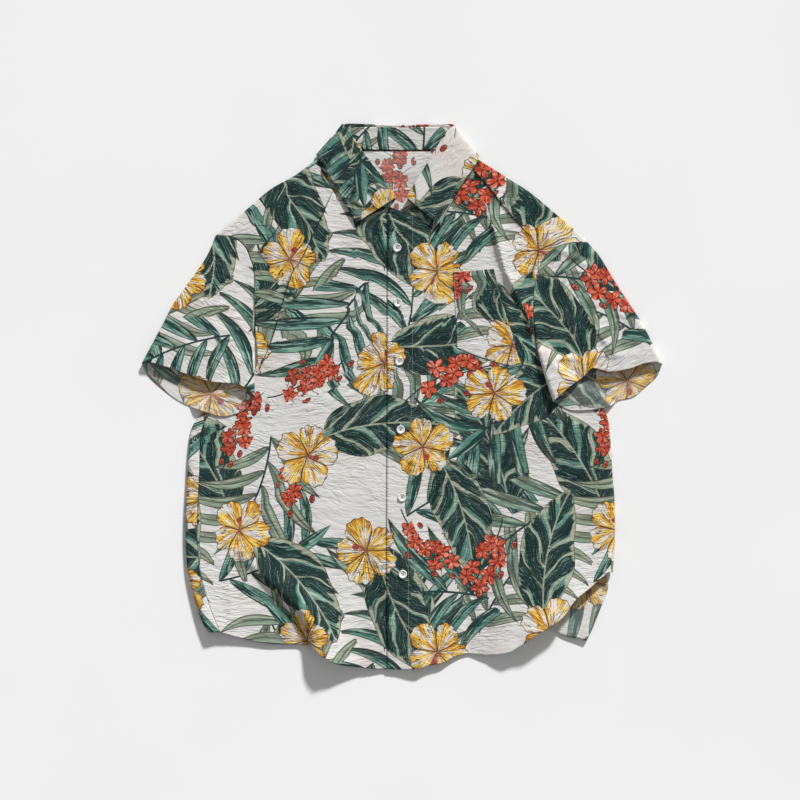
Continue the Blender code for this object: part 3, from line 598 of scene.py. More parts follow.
@dataclass
class Materials:
    """Every material of the scene, built once."""

    inside_fade: float = 0.14
    furrow_shade: float = 0.21
    cloth_relief: float = 1.8 * MM
    plain_relief: float = 0.2 * MM

    def __post_init__(self) -> None:
        """Builds the print and the materials that use it."""
        self.print_tree = print_group()
        self.outside = self.cloth(CLOTH_OUTSIDE, 0.0)
        self.faces = [self.outside, self.cloth(CLOTH_INSIDE, self.inside_fade)]
        self.thread = self.plain(THREAD)
        self.button_thread = self.plain(BUTTON_THREAD)
        self.shell = self.plain(SHELL)
        self.backdrop = self.plain(BACKDROP)

    def cloth(self, finish: Finish, fade: float) -> Material:
        """The printed cloth's outer or inner face.

        Args:
            finish: The face's constants.
            fade: How far the ground shows through the print.

        Returns:
            The material.
        """
        material, g, shader = finish_material(finish)
        node = g.group(self.print_tree)
        ink = Ink(g, node.outputs["Colour"])
        ink.lay(finish.light, fade)
        # painted shade: the cloth's dark colour is laid in the crinkles' furrows
        ink.lay(finish.dark, Wire(g.tree, node.outputs["Shade"]) * self.furrow_shade)
        g.tree.links.new(ink.colour, shader.inputs["Base Color"])
        add_bump(g, shader, node.outputs["Height"], finish.bump, self.cloth_relief)
        return material

    def plain(self, finish: Finish) -> Material:
        """A plain surface that varies a little.

        Args:
            finish: The surface's constants.

        Returns:
            The material.
        """
        material, g, shader = finish_material(finish)
        place = g.tree.nodes.new("ShaderNodeTexCoord").outputs["Object"]
        grain = g.noise(place, finish.grain, 3.0)
        varied = g.paint(finish.light, finish.dark, grain.rise(0.35, 0.70))
        g.tree.links.new(varied, shader.inputs["Base Color"])
        add_bump(g, shader, grain, finish.bump, self.plain_relief)
        return material


# ---- the print's layout


class Stem(NamedTuple):
    """A leaf, frond or spray of a posy: its start, where it points, its length and its bend.

    Start and length are in centimetres, the turn is in degrees from +X, and the bend is the
    angle in radians that its middle line turns through.
    """

    x: float
    y: float
    turn: float
    length: float
    bend: float

    def local(self, x: Grid, y: Grid) -> tuple[Grid, Grid]:
        """Places along and across its bent middle line, in its own lengths.

        Args:
            x, y: Places on the roll from its start, in centimetres.

        Returns:
            The places along and across it.
        """
        c, d = cos(radians(self.turn)), sin(radians(self.turn))
        hand = 1.0 if self.bend > 0 else -1.0
        reach = 1.0 / abs(self.bend)
        ahead = (x * c + y * d) / self.length
        aside = (y * c - x * d) / self.length * hand
        return np.arctan2(ahead, reach - aside) * reach, hand * (reach - np.hypot(ahead, reach - aside))


class Bloom(NamedTuple):
    """A hibiscus of the repeat: its centre and radius in centimetres, and its turn in degrees."""

    x: float
    y: float
    radius: float
    turn: float

    def local(self, x: Grid, y: Grid) -> tuple[Grid, Grid]:
        """Places along its turn and across it, in its radii from its centre."""
        c, d = cos(radians(self.turn)), sin(radians(self.turn))
        return (x * c + y * d) / self.radius, (y * c - x * d) / self.radius


REPEAT = 54.0
LAID_OUT = 64.0          # the width that the table of places was drawn over
LAYOUT = {
    Motif.FROND: [Stem(*row) for row in (
        (12.0, 14.0, 78, 17.0, 0.5), (51.0, 31.0, 285, 17.0, 0.5), (12.0, 47.0, 35, 16.5, -0.5),
        (2.0, 60.0, 15, 16.0, 0.5), (24.0, 27.0, 70, 16.5, -0.5), (44.0, 36.0, 10, 16.0, 0.5),
    )],
    Motif.FROND_OVER: [Stem(*row) for row in (
        (33.0, 10.0, 250, 17.5, -0.6), (60.0, 14.0, 100, 16.5, 0.5), (29.0, 32.0, 160, 18.0, 0.6),
        (41.0, 50.0, 200, 17.5, 0.5), (52.0, 60.0, 265, 16.5, -0.6), (6.0, 22.0, 215, 16.0, 0.5),
    )],
    Motif.LEAF: [Stem(*row) for row in (
        (9.0, 11.5, 355, 18.8, 0.5), (50.0, 15.0, 65, 19.3, -0.5), (14.5, 27.0, 115, 18.3, 0.6),
        (40.0, 25.0, 235, 18.8, 0.5), (29.0, 49.0, 100, 18.8, 0.5), (61.0, 60.0, 20, 18.3, -0.5),
        (45.0, 48.0, 110, 18.3, 0.5),
    )],
    Motif.LEAF_OVER: [Stem(*row) for row in (
        (51.0, 42.0, 325, 17.8, -0.6), (43.0, 9.0, 200, 17.8, 0.6), (20.5, 21.5, 330, 18.3, -0.5),
        (35.0, 31.0, 95, 17.8, -0.6), (7.5, 38.0, 285, 17.8, 0.5), (17.5, 56.0, 300, 17.3, -0.5),
    )],
    Motif.SPRAY: [Stem(*row) for row in (
        (14.5, 4.5, 30, 11.0, -0.5), (35.0, 16.5, 340, 10.5, 0.6), (22.0, 34.5, 50, 11.0, 0.5),
        (12.5, 45.0, 300, 10.0, 0.6), (56.5, 47.5, 80, 10.5, 0.5), (45.0, 57.0, 70, 10.0, 0.5),
        (52.0, 3.5, 15, 10.5, 0.5),
    )],
    Motif.HIBISCUS: [Bloom(*row) for row in (
        (6.0, 8.5, 5.0, 20), (26.5, 3.5, 4.7, 75), (46.5, 12.0, 5.2, 140), (17.0, 24.0, 4.8, 205),
        (36.5, 27.5, 5.1, 290), (57.5, 26.0, 4.6, 15), (5.0, 41.0, 5.0, 110), (47.5, 44.5, 4.8, 60),
        (14.5, 58.5, 4.7, 240), (58.5, 57.0, 5.1, 300),
    )],
}
FAR_AWAY = (9.0, 9.0, 0.0)
MOTIF_REACH = 30.0       # no motif is drawn further than this from its start
REPEAT_REACH = 28.0
FIRST_SEED = 0.13
SEED_STEP = 0.37


def beyond_body(motif: Motif, x: Grid, y: Grid, seed: float) -> Grid:
    """How far a place lies outside a motif's drawn body, in its own lengths.

    Args:
        motif: The kind of motif.
        x, y: Places along and across it.
        seed: The motif's own number.

    Returns:
        Negative inside the body, positive outside.
    """
    if motif is Motif.HIBISCUS:
        return np.hypot(x, y) - 1.0
    if motif is Motif.SPRAY:
        return np.hypot((x - 0.45) / 0.75, y / 0.36) - 1.0
    if motif in (Motif.FROND, Motif.FROND_OVER):
        return np.hypot((x - 0.70) / 0.75, y / 0.62) - 1.0
    inner = np.clip(x, 0.0, 1.0)
    wave = 1.0 + 0.06 * np.sin(inner * 13.0 + seed * 9.0 + np.sign(y) * 1.7)
    half = 0.55 * inner ** 0.52 * (1 - inner) ** 0.8 * wave
    return np.abs(y) - half + np.clip(x - 1, 0, None) - np.clip(x, None, 0)


# How far each kind of motif reaches: back, ahead and to each side of its start
REACHES = {
    Motif.HIBISCUS: (-1.15, 1.15, 1.15),
    Motif.SPRAY: (-0.34, 1.25, 0.42),
    Motif.FROND: (-0.06, 1.75, 0.80),
    Motif.FROND_OVER: (-0.06, 1.75, 0.80),
    Motif.LEAF: (-0.04, 1.04, 0.34),
    Motif.LEAF_OVER: (-0.04, 1.04, 0.34),
}


@dataclass(frozen=True)
class Cut:
    """Where a panel is cut from the printed cloth: its offset in centimetres and its turn."""

    x: float = 0.0
    y: float = 0.0
    turn: float = 0.0

    def on_roll(self, s: Grid, t: Grid) -> tuple[Grid, Grid]:
        """Places of a panel's flat cloth, given in metres, in centimetres on the roll."""
        c, d = cos(radians(self.turn)), sin(radians(self.turn))
        return (s * c - t * d) / CM + self.x, (s * d + t * c) / CM + self.y


# Where each piece is cut from the cloth
CUTS = {
    "front_right": Cut(9.0, 2.0),
    "front_left": Cut(9.0, 2.0),
    "back": Cut(40.0, 21.0),
    "sleeve_right": Cut(50.0, 30.0),
    "sleeve_left": Cut(20.0, 40.0),
    "collar_leaf": Cut(14.0, 52.0, 8.0),
    "collar_stand": Cut(42.0, 18.0, -4.0),
    "pocket": Cut(14.0, -38.5),
}


class Layer:
    """One kind of motif on a cloth mesh: which one each face shows, and its place in it."""

    def __init__(self, motif: Motif, x: Grid, y: Grid) -> None:
        """Lays every motif of a kind over a mesh.

        Args:
            motif: The kind.
            x, y: The faces' corners on the roll, in centimetres.
        """
        self.motif, self.x, self.y = motif, x.reshape(-1, 4), y.reshape(-1, 4)
        self.places = np.tile(np.array(FAR_AWAY), (len(self.x), 4, 1))
        self.nearest = np.full(len(self.x), np.inf)
        for number, row in enumerate(LAYOUT[motif]):
            for start in self.repeats(row):
                self.lay(row, start, FIRST_SEED + SEED_STEP * number)

    def repeats(self, row: Bloom | Stem) -> list[Pair]:
        """Every start that a motif of the repeat has near the mesh.

        Args:
            row: The motif.

        Returns:
            Its starts on the roll.
        """
        home = np.array((row.x, row.y)) * REPEAT / LAID_OUT
        low = np.array((self.x.min(), self.y.min())) - REPEAT_REACH - home
        high = np.array((self.x.max(), self.y.max())) + REPEAT_REACH - home
        low, high = np.floor(low / REPEAT).astype(int), np.ceil(high / REPEAT).astype(int)
        return [(home[0] + i * REPEAT, home[1] + j * REPEAT)
                for i in range(low[0], high[0] + 1) for j in range(low[1], high[1] + 1)]

    def lay(self, row: Bloom | Stem, start: Pair, seed: float) -> None:
        """Gives the faces that one motif covers their places in it.

        Args:
            row: The motif.
            start: Its start on the roll.
            seed: A number that makes its drawing its own.
        """
        x, y = self.x - start[0], self.y - start[1]
        near = (np.hypot(x, y) < MOTIF_REACH).any(axis=1)
        if not near.any():
            return
        along, across = row.local(x[near], y[near])
        low, high, wide = REACHES[self.motif]
        within = ((along > low) & (along < high) & (np.abs(across) < wide)).any(axis=1)
        depth = beyond_body(self.motif, along.mean(axis=1), across.mean(axis=1), seed)
        chosen = within & (depth < self.nearest[near])
        faces = np.flatnonzero(near)[chosen]
        drawn = (along[chosen], across[chosen], np.full_like(along[chosen], seed))
        self.places[faces] = np.stack(drawn, axis=-1)
        self.nearest[faces] = depth[chosen]


def store_print(mesh: Mesh, cut: Cut, s: Grid, t: Grid) -> None:
    """Stores each motif's own coordinates on every corner of a cloth mesh.

    Args:
        mesh: The mesh, all of whose faces have four corners.
        cut: Where it is cut from the roll.
        s, t: The corners' flat places across and along the panel.
    """
    flat = np.stack([s + cut.x * CM, t + cut.y * CM, np.zeros_like(s)], axis=-1)
    store_corners(mesh, "flat_place", flat)
    for motif in Motif:
        store_corners(mesh, motif.value, Layer(motif, *cut.on_roll(s, t)).places)


def store_corners(mesh: Mesh, name: str, values: Grid) -> None:
    """Stores a vector on every corner of a mesh."""
    layer = mesh.attributes.new(name, "FLOAT_VECTOR", "CORNER")
    layer.data.foreach_set("vector", np.ascontiguousarray(values, np.float32).ravel())


# ---- curves and the lying form


class Point(NamedTuple):
    """A point of an edge curve, in centimetres across the surface."""

    x: float
    y: float


class Lift(NamedTuple):
    """How far the front hem stands off the surface: centimetres along x, millimetres up."""

    x: float
    height: float


class Strip(NamedTuple):
    """A section of the collar: its folded edge, its middle height, its free or sewn edge."""

    fold_x: float
    fold_y: float
    fold_mm: float
    middle_mm: float
    edge_x: float
    edge_y: float
    edge_mm: float


def smoothstep(low: float, high: float, value: Grid) -> Grid:
    """0 below low, 1 above high, and a soft S between them."""
    share = np.clip((value - low) / (high - low), 0.0, 1.0)
    return share * share * (3.0 - 2.0 * share)


def spline(a: Grid, b: Grid, c: Grid, d: Grid, share: Grid) -> Grid:
    """Places on the smooth curve from b to c, whose neighbours are a and d."""
    return 0.5 * (2 * b + (c - a) * share + (2 * a - 5 * b + 4 * c - d) * share ** 2
                  + (3 * b - a - 3 * c + d) * share ** 3)


def run_on(knots: Grid) -> Grid:
    """A curve's knots, with one more straight on at each end."""
    return np.concatenate([2 * knots[:1] - knots[1:2], knots, 2 * knots[-1:] - knots[-2:-1]])


def split(plan: Grid) -> tuple[Grid, Grid]:
    """The x and the y of plan places."""
    return plan[..., 0], plan[..., 1]


def span(gap: Grid) -> Grid:
    """The lengths of plan gaps."""
    return np.hypot(*split(gap))


class Curve:
    """A smooth curve through a table's points, read by its share of the length."""

    def __init__(self, table: Sequence, samples: int = 24) -> None:
        """Lays the curve.

        Args:
            table: Its points, in centimetres.
            samples: How many steps it takes between two of them.
        """
        knots = np.array(table, float) * CM
        ends = run_on(knots)
        steps = np.linspace(0.0, 1.0, samples, endpoint=False)[:, None]
        runs = [spline(*four, steps) for four in zip(ends, ends[1:], ends[2:], ends[3:])]
        self.points = np.vstack(runs + [knots[-1:]])
        lengths = span(np.diff(self.points, axis=0))
        self.share = np.concatenate([[0.0], np.cumsum(lengths)]) / float(lengths.sum())

    def at(self, share: Grid) -> Grid:
        """Points at these shares of the length, one row each."""
        return np.stack([np.interp(share, self.share, axis) for axis in self.points.T], axis=-1)


class Chain:
    """Several curves end to end, each over its own stretch of the share."""

    def __init__(self, curves: list[Curve], breaks: list[float]) -> None:
        """Joins the curves at these shares."""
        self.curves, self.breaks = curves, breaks

    def at(self, share: Grid) -> Grid:
        """Points at shares of the whole chain.

        Args:
            share: The shares.

        Returns:
            One row for each.
        """
        share = np.asarray(share, float)
        found = self.curves[0].at(np.clip(share / self.breaks[0], 0, 1))
        for curve, low, high in zip(self.curves[1:], self.breaks, self.breaks[1:] + [1.0]):
            beyond = curve.at(np.clip((share - low) / (high - low), 0, 1))
            found = np.where((share > low)[..., None], beyond, found)
        return found


Edge = Curve | Chain


def coons(bottom: Edge, top: Edge, left: Edge, right: Edge, u: Grid, v: Grid) -> Grid:
    """The patch between four edge curves.

    Args:
        bottom, top: The edges at v = 0 and 1.
        left, right: The edges at u = 0 and 1.
        u, v: Shares across and up.

    Returns:
        Plan places, with x and y last.
    """
    u_, v_ = u[..., None], v[..., None]
    zero, one = np.zeros_like(u), np.ones_like(u)
    corners = ((1 - u_) * (1 - v_) * bottom.at(zero) + u_ * (1 - v_) * bottom.at(one)
               + (1 - u_) * v_ * top.at(zero) + u_ * v_ * top.at(one))
    return ((1 - v_) * bottom.at(u) + v_ * top.at(u) + (1 - u_) * left.at(v) + u_ * right.at(v)
            - corners)


def ripple(x: Grid, y: Grid, wave_x: float, wave_y: float, seed: int) -> Grid:
    """Smooth lattice noise from -1 to 1.

    Args:
        x, y: Places in metres.
        wave_x, wave_y: The lattice's pitch along each.
        seed: Which lattice.

    Returns:
        The noise at each place.
    """
    lattice = np.random.default_rng(seed).uniform(-1, 1, (257, 257))
    a, b = x / wave_x + 90.0, y / wave_y + 90.0
    i, j = np.floor(a).astype(int), np.floor(b).astype(int)
    p, q = a - i, b - j
    p, q = p * p * (3 - 2 * p), q * q * (3 - 2 * q)
    i, j = i % 256, j % 256
    low = lattice[i, j] * (1 - p) + lattice[i + 1, j] * p
    high = lattice[i, j + 1] * (1 - p) + lattice[i + 1, j + 1] * p
    return low * (1 - q) + high * q


@dataclass(frozen=True)
class Crease:
    """A soft ridge (or trough, if its height is negative) of cloth along a given line.

    Lengths are in centimetres and the height in millimetres. The flanks lie to the left and to
    the right of the line, looking from its start to its end.
    """

    path: tuple[Pair, ...]
    left: float
    right: float
    height: float
    crisp: float = 2.0
    tuck: float = 0.0

    def foot(self, x: Grid, y: Grid, samples: int) -> tuple[Grid, Grid, Grid]:
        """How places lie to the nearest point of the line.

        Args:
            x, y: Places across and along, in metres.
            samples: How finely the line is followed.

        Returns:
            Distances, distances to the left (less than 0 on the right), and shares of the line.
        """
        curve = Curve(self.path, samples)
        line = curve.points
        gap = (x[..., None] - line[:, 0]) ** 2 + (y[..., None] - line[:, 1]) ** 2
        nearest = gap.argmin(axis=-1)
        run = np.gradient(line, axis=0)[nearest]
        run = run / span(run)[..., None]
        hand = run[..., 0] * (y - line[nearest, 1]) - run[..., 1] * (x - line[nearest, 0])
        return np.sqrt(gap.min(axis=-1)), hand, curve.share[nearest]

    def beside(self, x: Grid, y: Grid) -> tuple[Grid, Grid]:
        """Distances to the left of the line, and its strength, which is 0 past its ends."""
        _, hand, share = self.foot(x, y, 16)
        return hand, smoothstep(0, 0.16, share) * smoothstep(0, 0.16, 1 - share)

    def hidden(self, x: Grid, y: Grid) -> Grid:
        """How much cloth the crease hides between its left flank and these places."""
        hand, fade = self.beside(x, y)
        return self.tuck * MM * fade * (1 - smoothstep(-1.0 * MM, 1.0 * MM, hand))

    def lift(self, x: Grid, y: Grid) -> Grid:
        """The crease's height at these places.

        Args:
            x, y: Places across and along, in metres.

        Returns:
            Heights in metres.
        """
        line = Curve(self.path, 12).points
        reach = 3.2 * max(self.left, self.right) * CM
        low, high = line.min(axis=0) - reach, line.max(axis=0) + reach
        near = (x > low[0]) & (x < high[0]) & (y > low[1]) & (y < high[1])
        found = np.zeros_like(x)
        if near.any():
            gap, hand, share = self.foot(x[near], y[near], 12)
            width = np.where(hand > 0, self.left, self.right) * CM
            fade = smoothstep(0, 0.28, share) * smoothstep(0, 0.28, 1 - share)
            uneven = 0.85 + 0.22 * np.sin(share * 9.0 + 3.0 * self.path[0][0])
            found[near] = self.height * MM * np.exp(-(gap / width) ** self.crisp) * fade * uneven
        return found


def pressed_line(x: Grid, y: Grid) -> Grid:
    """Where places lie beside the nearest of the fronts' pressed folds, which places their painted shadow
    and their bump.

    Args:
        x, y: Places across and along, in metres.

    Returns:
        The signed distance in millimetres, the fold's strength, and 0.
    """
    found, strength = np.full(x.shape, 99.0), np.zeros(x.shape)
    for crease in FRONT_CREASES:
        if crease.tuck and crease.right <= PRESSED:
            hand, fade = crease.beside(x, y)
            nearer = (np.abs(hand / MM) < np.abs(found)) & (fade > 0)
            found, strength = np.where(nearer, hand / MM, found), np.where(nearer, fade, strength)
    return np.stack([found, strength, np.zeros(x.shape)], axis=-1)


def points(*rows: Pair) -> list[Point]:
    """A table of plan points in centimetres."""
    return [Point(*row) for row in rows]


# Edges of the body, from the hem up to the shoulder point
RIGHT_SIDE = points(
    (-27.5, -32.9), (-28.8, -29.3), (-30.0, -24.7), (-30.4, -20.3), (-30.4, -16.0),
    (-30.1, -10.2), (-29.7, -4.7), (-28.5, -2.4), (-26.3, -0.3), (-23.3, 1.7), (-21.4, 3.3),
    (-20.4, 4.8), (-20.3, 6.8), (-20.6, 10.6), (-20.7, 17.8), (-21.2, 19.9), (-22.0, 21.7),
    (-23.6, 23.0), (-26.1, 23.4),
)
LEFT_SIDE = points(
    (30.1, -24.4), (30.4, -20.3), (30.4, -14.5), (30.1, -10.2), (29.7, -4.3), (29.0, -1.7),
    (27.0, 0.3), (24.1, 2.0), (21.6, 3.7), (20.0, 5.4), (19.2, 7.4), (18.9, 11.4),
    (19.0, 15.6), (19.5, 18.2), (20.6, 20.4), (22.3, 21.7), (24.4, 22.3), (26.6, 22.4),
)
LEFT_BACK_CORNER = points((26.4, -34.2), (27.1, -32.9), (28.4, -29.7), (29.5, -26.8))

# Shoulder edges run from the shoulder point to the neck point, neck edges from there on
RIGHT_SHOULDER = points(
    (-26.1, 23.4), (-22.9, 26.0), (-18.6, 29.7), (-14.8, 31.9), (-11.6, 34.2), (-8.4, 35.8),
)
LEFT_SHOULDER = points(
    (26.6, 22.4), (24.6, 24.3), (22.2, 26.3), (18.6, 29.3), (16.0, 31.0), (11.4, 33.9), (8.2, 35.9),
)
RIGHT_NECK = points((-8.4, 35.8), (-7.9, 33.4), (-6.5, 31.0), (-3.6, 28.4), (1.6, 26.2))
LEFT_NECK = points(
    (8.2, 35.9), (8.0, 33.6), (6.9, 31.2), (4.4, 28.9), (1.6, 27.1), (-1.8, 26.4),
)
BACK_NECK = points((-8.4, 35.8), (-6.4, 35.4), (0.0, 35.3), (6.4, 35.4), (8.2, 35.9))

# Hems, from the wearer's right to the left
BACK_HEM = points(
    (-27.5, -32.9), (-21.3, -33.3), (-12.8, -33.8), (-7.1, -34.4), (0.0, -34.8), (7.1, -34.6),
    (14.2, -34.0), (18.5, -33.3), (21.2, -32.7), (23.0, -33.4), (25.3, -33.9), (26.4, -34.2),
)
RIGHT_HEM = points(
    (-27.5, -32.9), (-23.9, -33.1), (-21.3, -34.1), (-18.0, -34.6), (-13.1, -34.8),
    (-11.6, -35.8), (-9.1, -37.3), (-6.5, -37.8), (-4.1, -38.1), (-1.6, -38.2), (1.6, -38.1),
)
LEFT_HEM = points(
    (-1.8, -38.1), (0.0, -38.2), (2.6, -38.1), (4.3, -37.6), (6.1, -37.3), (7.4, -36.6),
    (8.9, -36.1), (10.6, -36.1), (12.6, -36.2), (15.1, -35.9), (16.9, -34.9), (18.9, -33.5),
    (21.0, -32.2), (23.0, -30.8), (24.7, -28.4), (27.0, -26.5), (30.1, -24.4),
)
HEM_LIFTS = [Lift(*row) for row in (
    (-30.0, 6.0), (-27.5, 7.0), (-21.0, 1.0), (-14.5, 0.0), (-12.4, 4.0), (-10.4, 17.0),
    (-8.6, 15.0), (-5.5, 4.0), (-2.5, 0.0), (0.0, 1.0), (3.0, 6.0), (6.5, 3.0), (9.9, -2.0),
    (12.6, 3.0), (15.6, 13.0), (18.9, 19.0), (23.0, 20.0), (26.0, 15.0), (30.4, 5.0),
)]

# Creases of the two fronts, the deepest first, and the flank below which a fold is pressed flat and gets
# a painted shadow
PRESSED = 0.2
FRONT_CREASES = [Crease(*row) for row in (
    (((-24.2, -20.2), (-20.0, -24.0), (-17.0, -26.7), (-14.4, -29.1), (-12.7, -31.4), (-12.0, -35.5),
      (-11.8, -44.0)), 2.6, 0.85, 15.0, 2.2),
    (((-23.0, -27.0), (-18.5, -30.0), (-15.6, -33.6)), 1.2, 1.0, -1.5),
    (((11.6, 29.4), (13.1, 24.8), (14.9, 18.2), (16.2, 15.3)), 1.4, 0.45, 8.0, 1.4, 9.0),
    (((14.6, 19.4), (16.4, 15.0), (17.9, 12.4), (18.9, 8.2)), 1.3, 0.45, 8.6, 1.4, 9.0),
    (((9.4, 33.6), (12.2, 30.7), (14.5, 27.8), (16.8, 25.1), (19.6, 22.2)), 1.5, 0.2, 3.6, 1.1, 8.0),
    (((-8.6, 31.6), (-11.9, 24.1), (-14.1, 19.6), (-15.3, 17.8), (-17.0, 12.4), (-18.0, 8.9),
      (-20.2, 3.4)), 0.9, 0.2, 3.0, 1.1, 4.5),
    (((-16.2, 26.2), (-18.0, 23.3), (-20.4, 20.4)), 1.1, 0.2, 2.4, 1.1, 3.0),
    (((-12.5, 23.8), (-9.5, 23.9), (-6.0, 23.7)), 0.14, 0.5, 0.7, 1.2),
    (((-15.5, 16.2), (-13.0, 16.4), (-11.0, 16.2)), 0.14, 0.4, 0.6, 1.2),
    (((16.6, -35.4), (21.0, -31.4), (27.6, -26.0)), 1.4, 1.3, 5.0, 1.6),
    (((20.0, -30.0), (23.0, -25.0), (24.0, -18.0)), 1.0, 1.4, 2.2, 1.6),
    (((9.5, -36.0), (9.9, -31.0), (9.0, -26.0)), 0.9, 0.9, -1.6),
    (((6.2, -37.0), (6.8, -31.0), (8.5, -24.0)), 0.8, 0.6, 1.5, 1.5),
    (((20.0, -5.0), (24.0, -8.4), (28.0, -13.0)), 1.4, 0.9, 2.0, 1.6),
    (((22.0, 0.5), (25.2, -5.0), (29.0, -8.0)), 0.9, 0.5, 1.8, 1.4),
    (((18.8, 6.4), (21.5, 1.0), (22.5, -6.0)), 1.0, 0.5, 1.9, 1.4),
    (((-19.6, 5.0), (-22.5, -1.5), (-24.5, -9.0)), 0.6, 1.1, 1.8, 1.4),
    (((-28.0, -8.0), (-26.0, -15.0), (-26.5, -24.0)), 0.9, 0.7, 1.5, 1.6),
    (((-26.5, -20.0), (-24.4, -26.0), (-23.6, -33.0)), 0.7, 0.9, 1.8, 1.5),
    (((-6.2, -37.0), (-6.8, -31.0), (-5.5, -25.0)), 0.7, 0.9, -1.2),
    (((-14.0, 28.0), (-15.4, 24.6), (-17.4, 17.0)), 1.2, 0.8, 1.2),
    (((4.0, 30.0), (6.4, 26.4), (6.8, 22.0)), 0.8, 0.6, 0.9, 1.6),
    (((8.3, 26.0), (10.5, 22.6), (10.8, 18.8)), 0.9, 0.5, 1.0, 1.5),
    (((5.0, 4.0), (10.0, 3.2), (16.0, 4.0)), 0.4, 0.8, 0.8, 1.6),
    (((3.0, -10.0), (9.0, -9.4), (14.0, -10.6)), 0.5, 0.8, 0.7),
    (((-16.0, 1.0), (-10.0, 0.4), (-4.0, 1.2)), 0.5, 0.9, 0.7),
    (((-18.0, -16.0), (-11.0, -15.2), (-5.0, -16.4)), 0.6, 0.9, 0.8),
)]

# Sleeves: the outer edge runs from the shoulder point, each cuff edge from the outer fold
RIGHT_SLEEVE_OUTER = points(
    (-26.1, 23.4), (-27.5, 20.2), (-30.5, 15.9), (-32.2, 13.5), (-33.7, 10.6), (-35.2, 7.8),
    (-36.6, 5.2),
)
RIGHT_SLEEVE_INNER = points((-20.6, 10.6), (-20.65, 6.8), (-20.65, 4.4), (-20.6, 0.6))
RIGHT_CUFF_FRONT = points(
    (-36.6, 5.2), (-35.4, 5.3), (-32.5, 4.5), (-29.8, 3.5), (-26.8, 2.6), (-23.3, 2.3),
    (-21.7, 1.6), (-20.6, 0.6),
)
RIGHT_CUFF_BACK = points(
    (-36.6, 5.2), (-35.8, 3.5), (-33.8, 1.6), (-31.2, -0.3), (-28.0, -1.6), (-25.6, -2.3),
    (-23.7, -2.1), (-21.9, -1.3), (-20.6, 0.6),
)
LEFT_SLEEVE_OUTER = points(
    (26.6, 22.4), (28.4, 20.2), (30.4, 16.9), (32.2, 14.1), (34.1, 11.2), (35.9, 7.8), (37.2, 5.1),
)
LEFT_SLEEVE_INNER = points((18.9, 11.4), (19.35, 8.0), (19.9, 5.6), (20.7, 2.8), (21.7, -0.2))
LEFT_CUFF_FRONT = points(
    (37.2, 5.1), (36.2, 5.4), (34.4, 5.1), (32.4, 4.4), (29.8, 4.0), (27.3, 4.5), (26.1, 3.4),
    (23.4, 1.4), (21.7, -0.2),
)
LEFT_CUFF_BACK = points(
    (37.2, 5.1), (36.5, 3.4), (34.8, 1.8), (33.1, 0.4), (31.1, -0.1), (29.7, -0.9), (27.1, -1.4),
    (24.1, -1.4), (21.7, -0.2),
)
LEFT_SLEEVE_CREASES = [Crease(*row) for row in (
    (((20.8, 21.8), (24.4, 20.6), (27.6, 18.0)), 0.5, 0.7, 3.4, 1.5),
    (((21.6, 17.6), (25.0, 18.4), (28.4, 16.4)), 0.5, 0.5, 2.4, 1.5),
    (((22.6, 20.4), (23.6, 17.0), (22.6, 13.0)), 0.5, 0.4, 2.0, 1.5),
    (((24.0, 16.4), (27.0, 11.0), (31.8, 4.4)), 0.9, 0.30, 3.6, 1.3),
    (((19.8, 4.8), (23.5, 6.0), (27.2, 5.2)), 0.5, 0.7, 3.2, 1.5),
    (((24.0, 2.6), (28.0, 6.2), (34.6, 6.2)), 0.5, 0.8, 2.4, 1.5),
    (((20.6, 9.0), (24.0, 8.6), (27.0, 9.6)), 0.4, 0.6, 1.4, 1.5),
    (((29.0, 17.5), (31.0, 13.0), (33.5, 9.4)), 0.5, 0.6, 1.4, 1.6),
)]
RIGHT_SLEEVE_CREASES = [Crease(*row) for row in (
    (((-24.0, 21.5), (-27.4, 15.0), (-31.0, 8.0)), 0.9, 0.8, 2.2, 1.5),
    (((-22.4, 20.0), (-23.4, 13.0), (-25.2, 4.0)), 0.5, 0.6, 2.0, 1.4),
    (((-25.4, 20.6), (-25.0, 17.0), (-26.4, 13.0)), 0.35, 0.45, 1.6, 1.4),
    (((-26.8, 19.4), (-28.4, 16.0), (-28.6, 12.0)), 0.35, 0.45, 1.3, 1.4),
    (((-21.6, 12.0), (-23.6, 9.0), (-27.0, 7.6)), 0.5, 0.5, 1.5, 1.5),
    (((-21.4, 5.0), (-26.0, 5.8), (-31.0, 8.2)), 0.5, 0.7, 1.8, 1.5),
    (((-29.5, 13.0), (-32.0, 9.0), (-33.4, 6.0)), 0.5, 0.6, 1.4, 1.5),
)]

